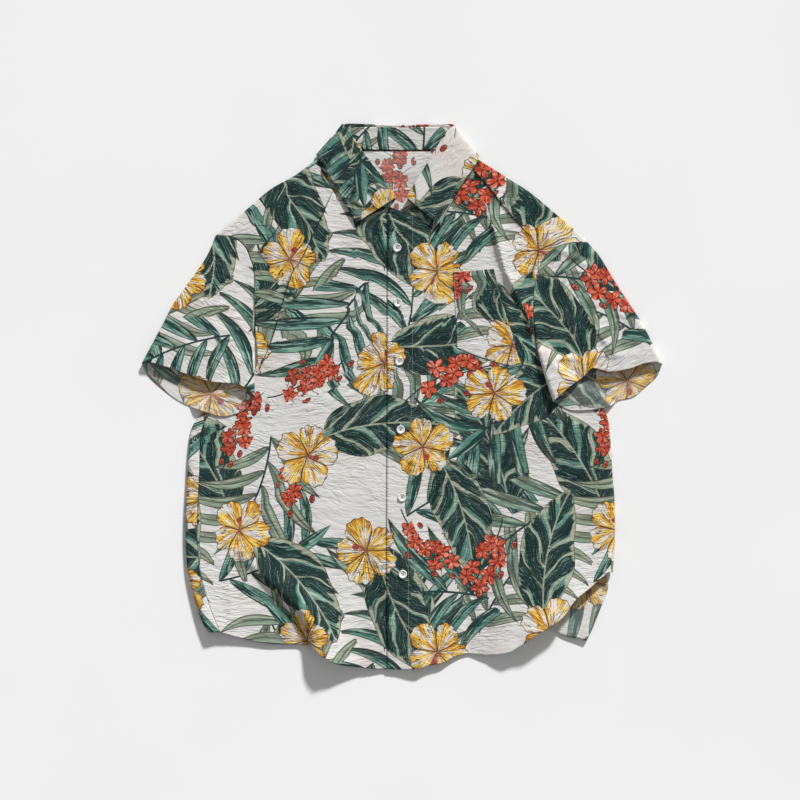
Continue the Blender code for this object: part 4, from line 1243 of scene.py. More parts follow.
# The turned-down leaf of the collar and its stand, from the right front round the back
LEAF = [Strip(*row) for row in (
    (-0.5, 28.7, 13.5, 12.4, -6.2, 25.1, 9.5),
    (-1.7, 30.5, 14.0, 12.6, -7.5, 27.3, 9.2),
    (-4.3, 33.9, 14.0, 12.8, -9.3, 30.6, 9.4),
    (-6.2, 36.6, 13.0, 12.2, -11.2, 33.6, 9.6),
    (-7.3, 38.2, 12.0, 11.4, -11.7, 34.5, 7.6),
    (-8.1, 39.0, 10.5, 8.6, -11.8, 34.9, 3.6),
    (-8.0, 39.1, 7.5, 3.4, -11.0, 34.5, 1.2),
    (-6.9, 39.2, 5.6, 1.0, -9.2, 33.7, 0.7),
    (-3.6, 39.1, 5.4, 0.8, -4.9, 33.2, 0.7),
    (0.0, 39.0, 5.4, 0.8, 0.0, 33.1, 0.7),
    (3.6, 39.1, 5.4, 0.8, 4.9, 33.2, 0.7),
    (6.4, 39.2, 5.6, 1.0, 8.6, 33.7, 0.7),
    (7.4, 39.1, 7.5, 3.4, 10.3, 34.3, 1.2),
    (7.5, 38.9, 10.5, 8.6, 11.1, 34.7, 3.6),
    (6.8, 38.2, 12.0, 11.4, 11.1, 34.3, 7.6),
    (5.8, 36.8, 13.0, 12.2, 10.6, 33.2, 9.6),
    (4.1, 34.0, 14.0, 12.8, 8.8, 30.6, 9.6),
    (2.0, 30.6, 14.0, 12.6, 6.9, 27.2, 9.2),
    (0.9, 28.7, 13.5, 12.4, 5.7, 24.6, 9.5),
)]
STAND = [Strip(*row) for row in (
    (-0.6, 28.4, 11.0, 10.2, -1.6, 27.1, 9.0),
    (-1.9, 30.0, 11.8, 9.8, -4.0, 28.4, 7.2),
    (-4.4, 33.4, 12.0, 9.6, -6.6, 31.6, 6.8),
    (-6.2, 36.1, 11.2, 9.2, -7.8, 34.2, 6.8),
    (-7.2, 37.9, 10.0, 8.4, -8.0, 35.8, 6.2),
    (-6.6, 38.6, 8.8, 7.2, -6.6, 35.6, 5.0),
    (-3.6, 38.7, 8.4, 6.6, -3.6, 35.5, 4.2),
    (0.0, 38.6, 8.2, 6.6, 0.0, 35.5, 4.2),
    (3.6, 38.7, 8.4, 6.6, 3.6, 35.5, 4.2),
    (6.2, 38.6, 8.8, 7.2, 6.2, 35.6, 5.0),
    (6.7, 37.9, 10.0, 8.4, 7.7, 35.9, 6.2),
    (5.8, 36.3, 11.2, 9.2, 7.6, 34.4, 6.8),
    (4.3, 33.5, 12.0, 9.6, 6.7, 31.8, 6.8),
    (2.2, 30.2, 11.8, 9.8, 4.4, 29.1, 7.2),
    (1.0, 28.4, 11.0, 10.2, 2.0, 27.6, 9.0),
)]
POCKET_TOP = points((7.5, 18.1), (10.4, 18.35), (13.3, 18.6))
POCKET_BOTTOM = points((8.1, 7.4), (11.1, 6.2), (15.3, 4.9), (17.0, 5.2))
POCKET_INNER = points((8.1, 7.4), (7.9, 12.0), (7.5, 18.1))
POCKET_OUTER = points((17.0, 5.2), (15.8, 9.6), (14.4, 14.2), (13.3, 18.6))
BUTTONS = points((-0.4, 21.6), (-0.3, 13.8), (-0.1, 5.5), (0.1, -4.2), (0.3, -13.8), (0.4, -24.7))


def side_x(side: list[Point], y: Grid) -> Grid:
    """The x of a side edge at a height y, in metres."""
    table = np.array(side) * CM
    return np.interp(y, table[:, 1], table[:, 0])


def rounded(distance: Grid, reach: float) -> Grid:
    """Quarter-round profile: 0 at the edge, 1 from reach inwards."""
    share = np.clip(distance / reach, 0.0, 1.0)
    return np.sqrt(1 - (1 - share) ** 2)


@dataclass(frozen=True)
class Lay:
    """How the shirt lies: the heights of its layers over the surface, in metres."""

    wall: float = 0.75 * MM
    solid_wall: float = 1.2 * MM
    lay_gap: float = 0.4 * MM
    loft: float = 4.7 * MM
    side_loft: float = 4.2 * MM
    side_reach: float = 3.2 * CM
    side_loft_y: Pair = (-10.0 * CM, -4.0 * CM)
    neck_loft: float = 2.2 * MM
    neck_front_loft: float = 1.6 * MM
    neck_band_y: Pair = (30.5 * CM, 32.5 * CM)
    neck_band_x: Pair = (12.5 * CM, 16.0 * CM)
    neck_point_x: Pair = (8.2 * CM, 9.4 * CM)
    shoulder_round: float = 7.0 * MM
    side_lap: float = 1.2 * CM
    underarm_y: float = 3.5 * CM
    side_turn_y: float = -4.0 * CM
    placket_fade_x: Pair = (2.0 * CM, 4.5 * CM)
    corner_lift: float = 5.0 * MM
    corner_x: Pair = (19.0 * CM, 27.0 * CM)
    corner_y: Pair = (-34.0 * CM, -24.0 * CM)
    hem_reach: float = 6.5 * CM
    swell: float = 0.55 * MM
    crinkle: float = 0.30 * MM

    def turn(self, y: Grid) -> Grid:
        """1 where the body turns round its sides, 0 along the armholes."""
        return 1.0 - smoothstep(self.side_turn_y, self.underarm_y, y)

    def hem_lift(self, x: Grid, y: Grid) -> Grid:
        """How far a lifted hem raises the front above it.

        Args:
            x, y: Places across and along.

        Returns:
            Heights in metres.
        """
        lifts = np.array(HEM_LIFTS)
        height = np.interp(x, lifts[:, 0] * CM, lifts[:, 1] * MM)
        hem = np.array(RIGHT_HEM + LEFT_HEM[1:]) * CM
        order = np.argsort(hem[:, 0])
        above = y - np.interp(x, hem[order, 0], hem[order, 1])
        return height * np.exp(-np.clip(above, 0, None) / self.hem_reach)

    def neck_rise(self, x: Grid, y: Grid) -> Grid:
        """1 over the collar's folded-under back, 0 away from it."""
        return smoothstep(*self.neck_band_y, y) * (1 - smoothstep(*self.neck_band_x, np.abs(x)))

    def back(self, x: Grid, y: Grid) -> Grid:
        """Middle surface of the back panel."""
        corner = self.corner_lift * smoothstep(*self.corner_x, x) * (1 - smoothstep(*self.corner_y, y))
        return self.solid_wall / 2 + self.neck_loft * self.neck_rise(x, y) + corner

    def body(self, x: Grid, y: Grid) -> Grid:
        """The fronts' middle surface without creases, which sets how the sides turn.

        Args:
            x, y: Places across and along.

        Returns:
            Heights in metres.
        """
        to_side = np.minimum(x - side_x(RIGHT_SIDE, y), side_x(LEFT_SIDE, y) - x)
        side = self.side_loft * np.exp(-(to_side / self.side_reach) ** 2)
        side = side * (1 - smoothstep(*self.side_loft_y, y))
        return self.loft + side + self.neck_front_loft * self.neck_rise(x, y) + self.hem_lift(x, y)

    def front(self, x: Grid, y: Grid) -> Grid:
        """Middle surface of the fronts, before the placket's rise.

        Args:
            x, y: Places across and along.

        Returns:
            Heights in metres.
        """
        height = self.body(x, y)
        for crease in FRONT_CREASES:
            height = height + crease.lift(x, y)
        height = height + self.swell * ripple(x, y, 5.2 * CM, 4.1 * CM, 11)
        height = height + self.crinkles(x, y)
        return np.maximum(height, self.back(x, y) + self.solid_wall + self.lay_gap)

    def crinkles(self, x: Grid, y: Grid) -> Grid:
        """The cloth's own crinkles that are wide enough to be modelled.

        Args:
            x, y: Places across and along.

        Returns:
            Heights in metres.
        """
        patch = 0.6 + 0.5 * ripple(x, y, 4.0 * CM, 3.0 * CM, 3)
        bent = y + 1.5 * MM * ripple(x, y, 1.6 * CM, 1.2 * CM, 5)
        return self.crinkle * patch * (ripple(x, bent, 2.1 * CM, 5.2 * MM, 7)
                                       + 0.7 * ripple(x, bent, 1.1 * CM, 3.6 * MM, 8))

    def placket_rise(self, x: Grid) -> Grid:
        """The left front's rise over the right front that it laps."""
        rise = self.solid_wall + self.lay_gap + 0.3 * MM
        return rise * (1 - smoothstep(*self.placket_fade_x, x))

    def side_radius(self, x: Grid, y: Grid) -> Grid:
        """Radius of the turned side, half the height between the layers."""
        x, y = np.asarray(x, float), np.asarray(y, float)
        return 0.5 * (self.body(x, y) - self.back(x, y))

    def top_rounding(self, x: Grid, distance: Grid) -> Grid:
        """0 at the shoulder edge, 1 inside it and all along the neck."""
        neck = 1 - smoothstep(*self.neck_point_x, np.abs(x))
        return np.maximum(rounded(distance, self.shoulder_round), neck)


LAY = Lay()


# ---- pieces

PILL_RINGS = {6: 4, 10: 6, 12: 8}     # a rounded bar's rings, by its number of sides


def as_mesh(name: str, bm: BMesh, material: Material | None = None) -> Mesh:
    """A new mesh of a bmesh, which is freed.

    Args:
        name: The mesh's name.
        bm: The geometry.
        material: What it is made of, if that is known.

    Returns:
        The mesh.
    """
    mesh = bpy.data.meshes.new(name)
    bm.to_mesh(mesh)
    bm.free()
    if material:
        mesh.materials.append(material)
    return mesh


def put(name: str, data: bpy.types.ID) -> Object:
    """A new object of these data in the scene."""
    made = bpy.data.objects.new(name, data)
    bpy.context.scene.collection.objects.link(made)
    return made


def ride(piece: Object) -> None:
    """Puts a piece on the shirt's body."""
    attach(piece, BODY)


def finish_piece(name: str, bm: BMesh, material: Material) -> Object:
    """Turns a bmesh into a smooth piece that rides on the shirt.

    Args:
        name: The piece's name.
        bm: Its geometry, freed here.
        material: Its material.

    Returns:
        The piece.
    """
    mesh = as_mesh(name, bm, material)
    mesh.shade_smooth()
    piece = put(name, mesh)
    ride(piece)
    LOG.info("%s: %d faces", name, len(mesh.polygons))
    return piece


def add_pill(bm: BMesh, place: Matrix, half: tuple[float, float, float], sides: int) -> None:
    """Adds a rounded bar, such as a stitch.

    Args:
        bm: Where it goes.
        place: Its place and turn.
        half: Half its length, width and height.
        sides: How many sides it has round its length.
    """
    bmesh.ops.create_uvsphere(bm, u_segments=sides, v_segments=PILL_RINGS[sides], radius=1.0,
                              matrix=place @ Matrix.Diagonal((*half, 1.0)))


# ---- laying cloth

Places = tuple[Grid, Grid, Grid]
Flat = tuple[Grid, Grid]


class Panel:
    """A flat patch of the body between its four edge curves."""

    def __init__(self, bottom: Edge, top: Edge, left: Edge, right: Edge) -> None:
        """Takes the four edges."""
        self.bottom, self.top, self.left, self.right = bottom, top, left, right

    def at(self, u: Grid, v: Grid) -> tuple[Grid, Grid]:
        """Plan position at u across and v up."""
        return split(coons(self.bottom, self.top, self.left, self.right, u, v))

    def width(self, v: Grid) -> Grid:
        """Length of the row at v."""
        return span(self.right.at(v) - self.left.at(v))

    def from_top(self, u: Grid, v: Grid) -> Grid:
        """Distance down from the top edge."""
        return (1 - v) * span(self.top.at(u) - self.bottom.at(u))


def evened(rows: Grid, reach: int = 6) -> Grid:
    """Averages each row with its neighbours, so that fine wrinkles don't jog the print."""
    padded = np.pad(rows, ((reach, reach), (0, 0)), mode="edge")
    return sum(padded[k:k + len(rows)] for k in range(2 * reach + 1)) / (2 * reach + 1)


def flat_rows(x: Grid, y: Grid, z: Grid, anchor: int) -> Flat:
    """Unrolls a laid grid row by row.

    Args:
        x, y, z: The grid's points, in rows.
        anchor: The column whose flat place across is its own x.

    Returns:
        The flat places across and along.
    """
    plan = np.abs(np.diff(x, axis=1))
    extra = evened(np.cumsum(np.hypot(plan, np.diff(z, axis=1)) - plan, axis=1))
    run = np.concatenate([np.zeros((len(x), 1)), np.cumsum(plan, axis=1) + extra], axis=1)
    for crease in FRONT_CREASES:
        if crease.tuck:
            run = run - crease.hidden(x, y)
    return x[:, anchor:anchor + 1] + run - run[:, anchor:anchor + 1], y


NOWHERE = 9.0            # a place far from every pressed fold


@dataclass(frozen=True)
class Weave:
    """How a cut piece is made from its grid."""

    wall: float = LAY.wall
    tube: bool = False
    inward: bool = False
    # pressed: stores the fronts' fold lines, which place their painted shadow and bump
    pressed: bool = False


def lay_cloth(node: str, places: Places, flats: Sequence[Flat], weave: Weave,
              dress: Sequence[Material]) -> None:
    """Args:
        node: The solid that it stands for.
        places: Its points, in rows up and columns across.
        flats: Its flat places, once for the whole grid or once for each half of a tube.
        weave: Its wall and sides.
        dress: The materials of its grid's own side and of the other.
    """
    name = node + "_cloth"
    rows, columns = places[0].shape
    middle = (columns - 1) // 2
    bm = bmesh.new()
    bmesh.ops.create_grid(bm, x_segments=columns - 1, y_segments=rows - 1, size=0.5)
    mesh = as_mesh(name, bm)
    unit = np.empty(len(mesh.vertices) * 3)
    mesh.vertices.foreach_get("co", unit)
    unit = unit.reshape(-1, 3)
    column = np.rint((unit[:, 0] + 0.5) * (columns - 1)).astype(int)
    row = np.rint((unit[:, 1] + 0.5) * (rows - 1)).astype(int)
    mesh.vertices.foreach_set("co", np.stack(places, axis=-1)[row, column].ravel())
    corner = np.empty(len(mesh.loops), int)
    mesh.loops.foreach_get("vertex_index", corner)
    face_column = column[corner].reshape(-1, 4).min(axis=1).repeat(4)
    half = (face_column >= middle).astype(int) * (len(flats) - 1)
    s, t = (np.stack(axis)[half, row[corner], column[corner]] for axis in zip(*flats))
    store_print(mesh, CUTS[node], s, t)
    laid = [np.full(len(corner), NOWHERE)] * 2
    if weave.pressed:
        laid = [axis[row[corner], column[corner]] for axis in places[:2]]
    store_corners(mesh, "fold_place", pressed_line(*laid))
    bm = bmesh.new()
    bm.from_mesh(mesh)
    if weave.tube:
        bmesh.ops.remove_doubles(bm, verts=bm.verts, dist=1e-6)
    if weave.inward:
        bmesh.ops.reverse_faces(bm, faces=bm.faces)
    bm.to_mesh(mesh)
    bm.free()
    mesh.shade_smooth()
    for material in dress:
        mesh.materials.append(material)
    piece = put(name, mesh)
    wall = piece.modifiers.new("wall", "SOLIDIFY")
    wall.thickness = weave.wall
    wall.offset = 0.0
    wall.material_offset = 1
    if weave.tube:
        upper, lower = flats
        flats = [tuple(axis[:, :middle + 1] for axis in upper),
                 tuple(axis[:, middle:] for axis in lower)]
    declare(piece, node)


def declare(piece: Object, node: str) -> None:
    """Puts a laid piece of cloth on the shirt's body, and hides the solid that it stands for.

    Args:
        piece: The piece.
        node: The solid that it stands for.
    """
    ride(piece)
    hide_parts(node)


@dataclass
class Body:
    """The back and the two fronts, laid face up with their sides turned round."""

    materials: Materials
    seam_gap: float = 0.3 * MM
    side_seam_gap: float = 1.4 * MM
    right_top_break: float = 0.58
    back_top_breaks: Pair = (0.36, 0.64)
    back_corner_break: float = 0.16
    columns: int = 138
    rows: int = 330
    back_columns: int = 88
    back_rows: int = 170
    turn_columns: int = 12
    left_turn: Pair = (0.94, 0.95)
    back_turn: Pair = (0.045, 0.055)
    back_anchor: int = 50
    shoulder_rows: tuple[float, ...] = (2.2, 1.5, 0.9, 0.5, 0.25, 0.08, 0.0)
    shortest_row: float = 50.0 * CM

    def tangent(self, side: list[Point], hand: int, out: float) -> list[Point]:
        """A side edge moved in to where the cloth starts to turn.

        Args:
            side: The side's table.
            hand: 1 for the wearer's left side, -1 for the right.
            out: A further shift in metres, away from the middle if positive.

        Returns:
            The moved table.
        """
        moved = []
        for point in side:
            x, y = point.x * CM, point.y * CM
            radius = float(LAY.side_radius(x, y)) * float(LAY.turn(y))
            moved.append(Point(point.x - hand * (radius - out) / CM, point.y))
        return moved

    def right_panel(self) -> Panel:
        """The right front's plan, from its side seam to under the placket."""
        seam = [Point(x + (LAY.side_lap * float(LAY.turn(y * CM)) + self.seam_gap) / CM, y)
                for x, y in self.tangent(RIGHT_SIDE, -1, 0.0)]
        top = Chain([Curve(RIGHT_SHOULDER), Curve(RIGHT_NECK)], [self.right_top_break])
        return Panel(Curve([seam[0]] + RIGHT_HEM[2:]), top, Curve(seam),
                     Curve([RIGHT_HEM[-1], (1.6, -6.0), RIGHT_NECK[-1]]))

    def left_panel(self) -> Panel:
        """The left front's plan, from the placket to where its side turns."""
        turned = self.tangent(LEFT_SIDE, 1, 0.0)
        top = Chain([Curve(LEFT_NECK[::-1]), Curve(LEFT_SHOULDER[::-1])], [1 - self.right_top_break])
        edge = Curve([LEFT_HEM[0], (-1.9, -20.0), (-1.8, 0.0), LEFT_NECK[-1]])
        return Panel(Curve(LEFT_HEM[:-1] + [turned[0]]), top, edge, Curve(turned))

    def back_panel(self) -> Panel:
        """The back's plan between its two turned sides."""
        right = self.tangent(RIGHT_SIDE, -1, 0.0)
        side = self.tangent(LEFT_SIDE, 1, -self.side_seam_gap)
        left = Chain([Curve(LEFT_BACK_CORNER + side[:1]), Curve(side)], [self.back_corner_break])
        top = Chain([Curve(RIGHT_SHOULDER), Curve(BACK_NECK), Curve(LEFT_SHOULDER[::-1])],
                    list(self.back_top_breaks))
        return Panel(Curve(BACK_HEM), top, Curve(right), left)

    def side_turn(self, side: Grid) -> tuple[Grid, Grid]:
        """The radius of a turned side, and the length of cloth round it."""
        radius = LAY.side_radius(*split(side))
        return radius, pi * radius * LAY.turn(side[..., 1])

    def left_row(self, v: Grid) -> Grid:
        """Length of the left front's row from the placket's edge to its seam below."""
        panel = self.left_panel()
        return panel.width(v) + self.side_turn(panel.right.at(v))[1]

    def between(self, height: Grid, low: Grid, hand: int) -> Grid:
        """Half-way from the back to the fronts: a front's half if hand is 1, the back's if -1."""
        return 0.5 * (height + low) + hand * 0.5 * (LAY.solid_wall + self.seam_gap)

    def right_places(self, u: Grid, v: Grid) -> Places:
        """Wearer's right front: a patch that runs on under the placket.

        Args:
            u: Shares from the side seam to the placket.
            v: Shares from the hem up.

        Returns:
            Points of its middle surface.
        """
        panel = self.right_panel()
        x, y = panel.at(u, v)
        height = LAY.front(x, y)
        middle = self.between(height, LAY.back(x, y), 1)
        return x, y, middle + (height - middle) * LAY.top_rounding(x, panel.from_top(u, v))

    def left_places(self, u: Grid, v: Grid) -> Places:
        """Wearer's left front: the placket's edge first, the turned side last.

        Args:
            u: Shares from the placket's edge to the side seam below.
            v: Shares from the hem up.

        Returns:
            Points of its middle surface.
        """
        panel = self.left_panel()
        radius, arc = self.side_turn(panel.right.at(v))
        width = panel.width(v)
        run = u * (width + arc)
        x, y = panel.at(np.clip(run / width, 0, 1), v)
        height = LAY.front(x, y) + LAY.placket_rise(x)
        middle = self.between(height, LAY.back(x, y), 1)
        top = middle + (height - middle) * LAY.top_rounding(x, panel.from_top(u, v))
        angle = np.clip(run - width, 0, None) / radius
        turned = np.maximum(top - radius * (1 - np.cos(angle)), LAY.solid_wall / 2)
        return x + radius * np.sin(angle), y, turned

    def back_places(self, u: Grid, v: Grid) -> Places:
        """Back: its right edge laps over the right side, then it runs flat to the left.

        Args:
            u: Shares from the right side seam, round the side, to the left side seam.
            v: Shares from the hem up.

        Returns:
            Points of its middle surface.
        """
        panel = self.back_panel()
        side = panel.left.at(v)
        radius, arc = self.side_turn(side)
        lap = LAY.side_lap * smoothstep(0.8, 1.0, LAY.turn(side[..., 1]))
        width = panel.width(v)
        run = u * (width + arc + lap) - arc - lap
        x, y = panel.at(np.clip(run / width, 0, 1), v)
        low = LAY.back(x, y)
        middle = self.between(LAY.front(x, y), low, -1)
        flat = middle + (low - middle) * LAY.top_rounding(x, panel.from_top(u, v))
        angle = np.clip(-run, 0, arc) / radius
        over = np.clip(-run - arc, 0, None)
        x = x - radius * np.sin(angle) + over
        return x, y, np.where(over > 0, LAY.front(x, y), flat + radius * (1 - np.cos(angle)))

    def shares_up(self, rows: int) -> Grid:
        """Shares from hem to shoulder, closer together where the shoulder rounds off."""
        near = 1 - np.array(self.shoulder_rows) * LAY.shoulder_round / self.shortest_row
        return np.concatenate([np.linspace(0.0, near[0], rows, endpoint=False), near])

    def build(self) -> None:
        up, turn = self.shares_up(self.rows), self.turn_columns
        across = np.linspace(0, 1, self.columns)
        self.piece("front_right", self.right_places, across, up, -1, ["back"])
        across = np.concatenate([np.linspace(0, self.left_turn[0], self.columns - turn),
                                 np.linspace(self.left_turn[1], 1, turn)])
        self.piece("front_left", self.left_places, across, up, 0, ["front_right", "back"])
        across = np.concatenate([np.linspace(0, self.back_turn[0], turn),
                                 np.linspace(self.back_turn[1], 1, self.back_columns)])
        up = self.shares_up(self.back_rows)
        self.piece("back", self.back_places, across, up, self.back_anchor, ["collar_leaf"])

    def piece(self, name: str, places: Callable[[Grid, Grid], Places], across: Grid, up: Grid,
              anchor: int, rests_on: list[str]) -> None:
        """Args:
            name: Its node.
            places: Its form.
            across: Shares of its grid's columns.
            up: Shares of its rows.
            anchor: The column that its flat places are measured from.
            rests_on: What it lies on; not used.
        """
        dress = self.materials.faces[::-1] if name == "back" else self.materials.faces
        found = places(*np.meshgrid(across, up))
        flats = [flat_rows(*found, anchor % len(across))]
        lay_cloth(name, found, flats, Weave(pressed=name != "back"), dress)


@dataclass
class Sleeve:
    """A short wide sleeve: a flattened tube from the armhole to the open cuff."""

    name: str
    materials: Materials
    side: list[Point]
    outer: list[Point]
    inner: list[Point]
    cuff_front: list[Point]
    cuff_back: list[Point]
    creases: list[Crease]
    rest_y: float
    armhole_end: float
    cuff_loft: float = 11.0 * MM
    edge_round: float = 7.0 * MM
    over_body: float = 7.0 * MM
    over_x: Pair = (-3.2 * CM, -1.2 * CM)
    over_y: float = 1.4 * CM
    armhole_gap: float = 0.45 * MM
    ring_columns: int = 220
    rows: int = 150

    def hand(self) -> float:
        """1 for the wearer's left, -1 for the right."""
        return float(np.sign(self.side[0].x))

    def armhole(self) -> list[Point]:
        """The armhole from the shoulder point down, moved out by the seam's gap."""
        upper = np.array([point for point in self.side[::-1] if point.y > self.armhole_end])
        along = np.gradient(upper, axis=0)
        along /= np.hypot(*along.T)[:, None]
        outward = self.hand() * np.stack([-along[:, 1], along[:, 0]], axis=-1)
        return [Point(*point) for point in upper + outward * self.armhole_gap / CM]

    def lies_on_body(self, x: Grid, y: Grid) -> Grid:
        """1 where the sleeve lies on the body, 0 clear of it."""
        near = smoothstep(*self.over_x, self.hand() * (side_x(self.side, y) - x))
        return near * (1 - smoothstep(self.rest_y, self.rest_y + self.over_y, y))

    def places(self, ring: Grid, along: Grid) -> Places:
        """The tube's form.

        Args:
            ring: 0 to 1 over the front from the outer fold, then 1 to 2 back below.
            along: Shares from the armhole to the cuff.

        Returns:
            Points of its middle surface.
        """
        seam = self.armhole()
        outer, inner = Curve(seam[:1] + self.outer[1:]), Curve(seam[-1:] + self.inner[1:])
        below = ring > 1
        across = 0.5 * (1 - np.cos(pi * np.where(below, 2 - ring, ring)))
        front = coons(Curve(seam), Curve(self.cuff_front), outer, inner, across, along)
        back = coons(Curve(seam), Curve(self.cuff_back), outer, inner, across, along)
        x, y = split(np.where(below[..., None], back, front))
        low = LAY.solid_wall / 2 + self.over_body * self.lies_on_body(x, y)
        start = LAY.front(x, y) - LAY.back(x, y)
        loft = start + (self.cuff_loft - start) * smoothstep(0.0, 1.0, along)
        inset = np.minimum(across, 1 - across) * span(outer.at(along) - inner.at(along))
        round_off = rounded(inset, self.edge_round)
        crease = sum(row.lift(x, y) for row in self.creases)
        swell = LAY.swell * ripple(x, y, 3.6 * CM, 3.0 * CM, 23) + 1.2 * LAY.crinkles(x, y)
        crease = (crease + swell * smoothstep(0.0, 0.15, along)) * round_off
        half = 0.5 * loft * round_off
        middle = low + 0.5 * loft
        return x, y, np.where(below, middle - half, np.maximum(middle + half + crease, middle))

    def flats(self, places: Places) -> list[Flat]:
        """The tube's two halves unfolded about the outer fold.

        Args:
            places: The laid grid.

        Returns:
            The flat places for the upper and for the lower half.
        """
        start, end = np.array(self.outer[0]), np.array(self.outer[-1])
        axis = (end - start) / np.hypot(*(end - start))
        inward = np.array([-axis[1], axis[0]]) * -self.hand()
        dx, dy = places[0] - start[0] * CM, places[1] - start[1] * CM
        t = -(dx * axis[0] + dy * axis[1])
        s = dx * inward[0] + dy * inward[1]
        s = s - s[:, :1]
        return [(s, t), (-s, t)]

    def build(self) -> None:
        ring, up = np.linspace(0, 2, self.ring_columns + 1), np.linspace(0, 1, self.rows)
        places = self.places(*np.meshgrid(ring, up))
        weave = Weave(tube=True, inward=self.hand() < 0)
        lay_cloth(self.name, places, self.flats(places), weave, self.materials.faces)


@dataclass
class Collar:
    """The stand and the leaf that is folded down over it."""

    materials: Materials
    wall: float = 1.1 * MM
    leaf_grid: tuple[int, int] = (300, 44)
    stand_grid: tuple[int, int] = (240, 24)

    def column(self, table: list[Strip], name: str, share: Grid) -> Grid:
        """One column of a strip's table, read smoothly along it.

        Args:
            table: The strip's table.
            name: The column.
            share: Shares of the table's length.

        Returns:
            Values in metres.
        """
        knots = np.array([getattr(row, name) for row in table])
        place = np.clip(share, 0, 1) * (len(knots) - 1)
        first = np.minimum(place.astype(int), len(knots) - 2)
        ends = run_on(knots)
        unit = MM if name.endswith("_mm") else CM
        return unit * spline(*(ends[first + step] for step in range(4)), place - first)

    def places(self, table: list[Strip], u: Grid, v: Grid) -> Places:
        """A strip from its folded edge to its free edge, through its middle height.

        Args:
            table: The strip's table.
            u: Shares along it.
            v: Shares from the fold to the free edge.

        Returns:
            Points of its middle surface.
        """
        fold_x, fold_y, fold, middle, edge_x, edge_y, edge = (
            self.column(table, name, u) for name in Strip._fields)
        x = fold_x * (1 - v) + edge_x * v
        y = fold_y * (1 - v) + edge_y * v
        inner = middle + (fold - middle) * np.clip(1 - 2 * v, 0, 1) ** 1.5
        height = np.where(v < 0.5, inner, middle + (edge - middle) * (2 * v - 1))
        return x, y, np.maximum(height, 0.6 * self.wall)

    def flat(self, places: Places) -> Flat:
        """The strip's flat places along it and out from its fold.

        Args:
            places: The laid grid.

        Returns:
            The flat places.
        """
        point = np.stack(places, axis=-1)
        steps = np.linalg.norm(np.diff(point, axis=1), axis=-1)
        run = np.concatenate([np.zeros((len(point), 1)), np.cumsum(steps, axis=1)], axis=1)
        run = 0.5 * (run[:1] + run[-1:]) * np.ones((len(point), 1))
        out = np.linalg.norm(np.diff(point, axis=0), axis=-1)
        depth = np.concatenate([np.zeros((1, point.shape[1])), np.cumsum(out, axis=0)], axis=0)
        return run, -depth

    def build(self) -> None:
        for name, table, grid, under in (
            ("collar_leaf", LEAF, self.leaf_grid, "front_left"),
            ("collar_stand", STAND, self.stand_grid, "back"),
        ):
            along, out = (np.linspace(0, 1, count) for count in grid)
            places = self.places(table, *np.meshgrid(along, out))
            lay_cloth(name, places, [self.flat(places)], Weave(self.wall),
                      [self.materials.outside] * 2)


@dataclass
class Pocket:
    """The patch pocket, laid on the left front's own form."""

    materials: Materials
    mouth: float = 0.5 * MM
    clearance: float = 0.15 * MM
    columns: int = 70
    rows: int = 90

    def places(self, u: Grid, v: Grid) -> Places:
        """The pocket's form.

        Args:
            u: Shares from its inner to its outer edge.
            v: Shares up.

        Returns:
            Points of its middle surface.
        """
        x, y = split(coons(Curve(POCKET_BOTTOM), Curve(POCKET_TOP), Curve(POCKET_INNER),
                           Curve(POCKET_OUTER), u, v))
        gape = self.mouth * np.sin(pi * u) * smoothstep(0.8, 1.0, v)
        return x, y, LAY.front(x, y) + LAY.placket_rise(x) + LAY.wall + self.clearance + gape

    def build(self) -> None:
        across, up = np.linspace(0, 1, self.columns), np.linspace(0, 1, self.rows)
        places = self.places(*np.meshgrid(across, up))
        lay_cloth("pocket", places, [flat_rows(*places, 0)], Weave(), self.materials.faces)


Form = Callable[[Grid, Grid], Places]
PROBE = 1e-4             # a share small enough to read a form's slope by


@dataclass(frozen=True)
class Seam:
    """A row of stitches: the form it is sewn on, and its way over that form."""

    form: Form
    u: Grid
    v: Grid
    wall: float = LAY.wall


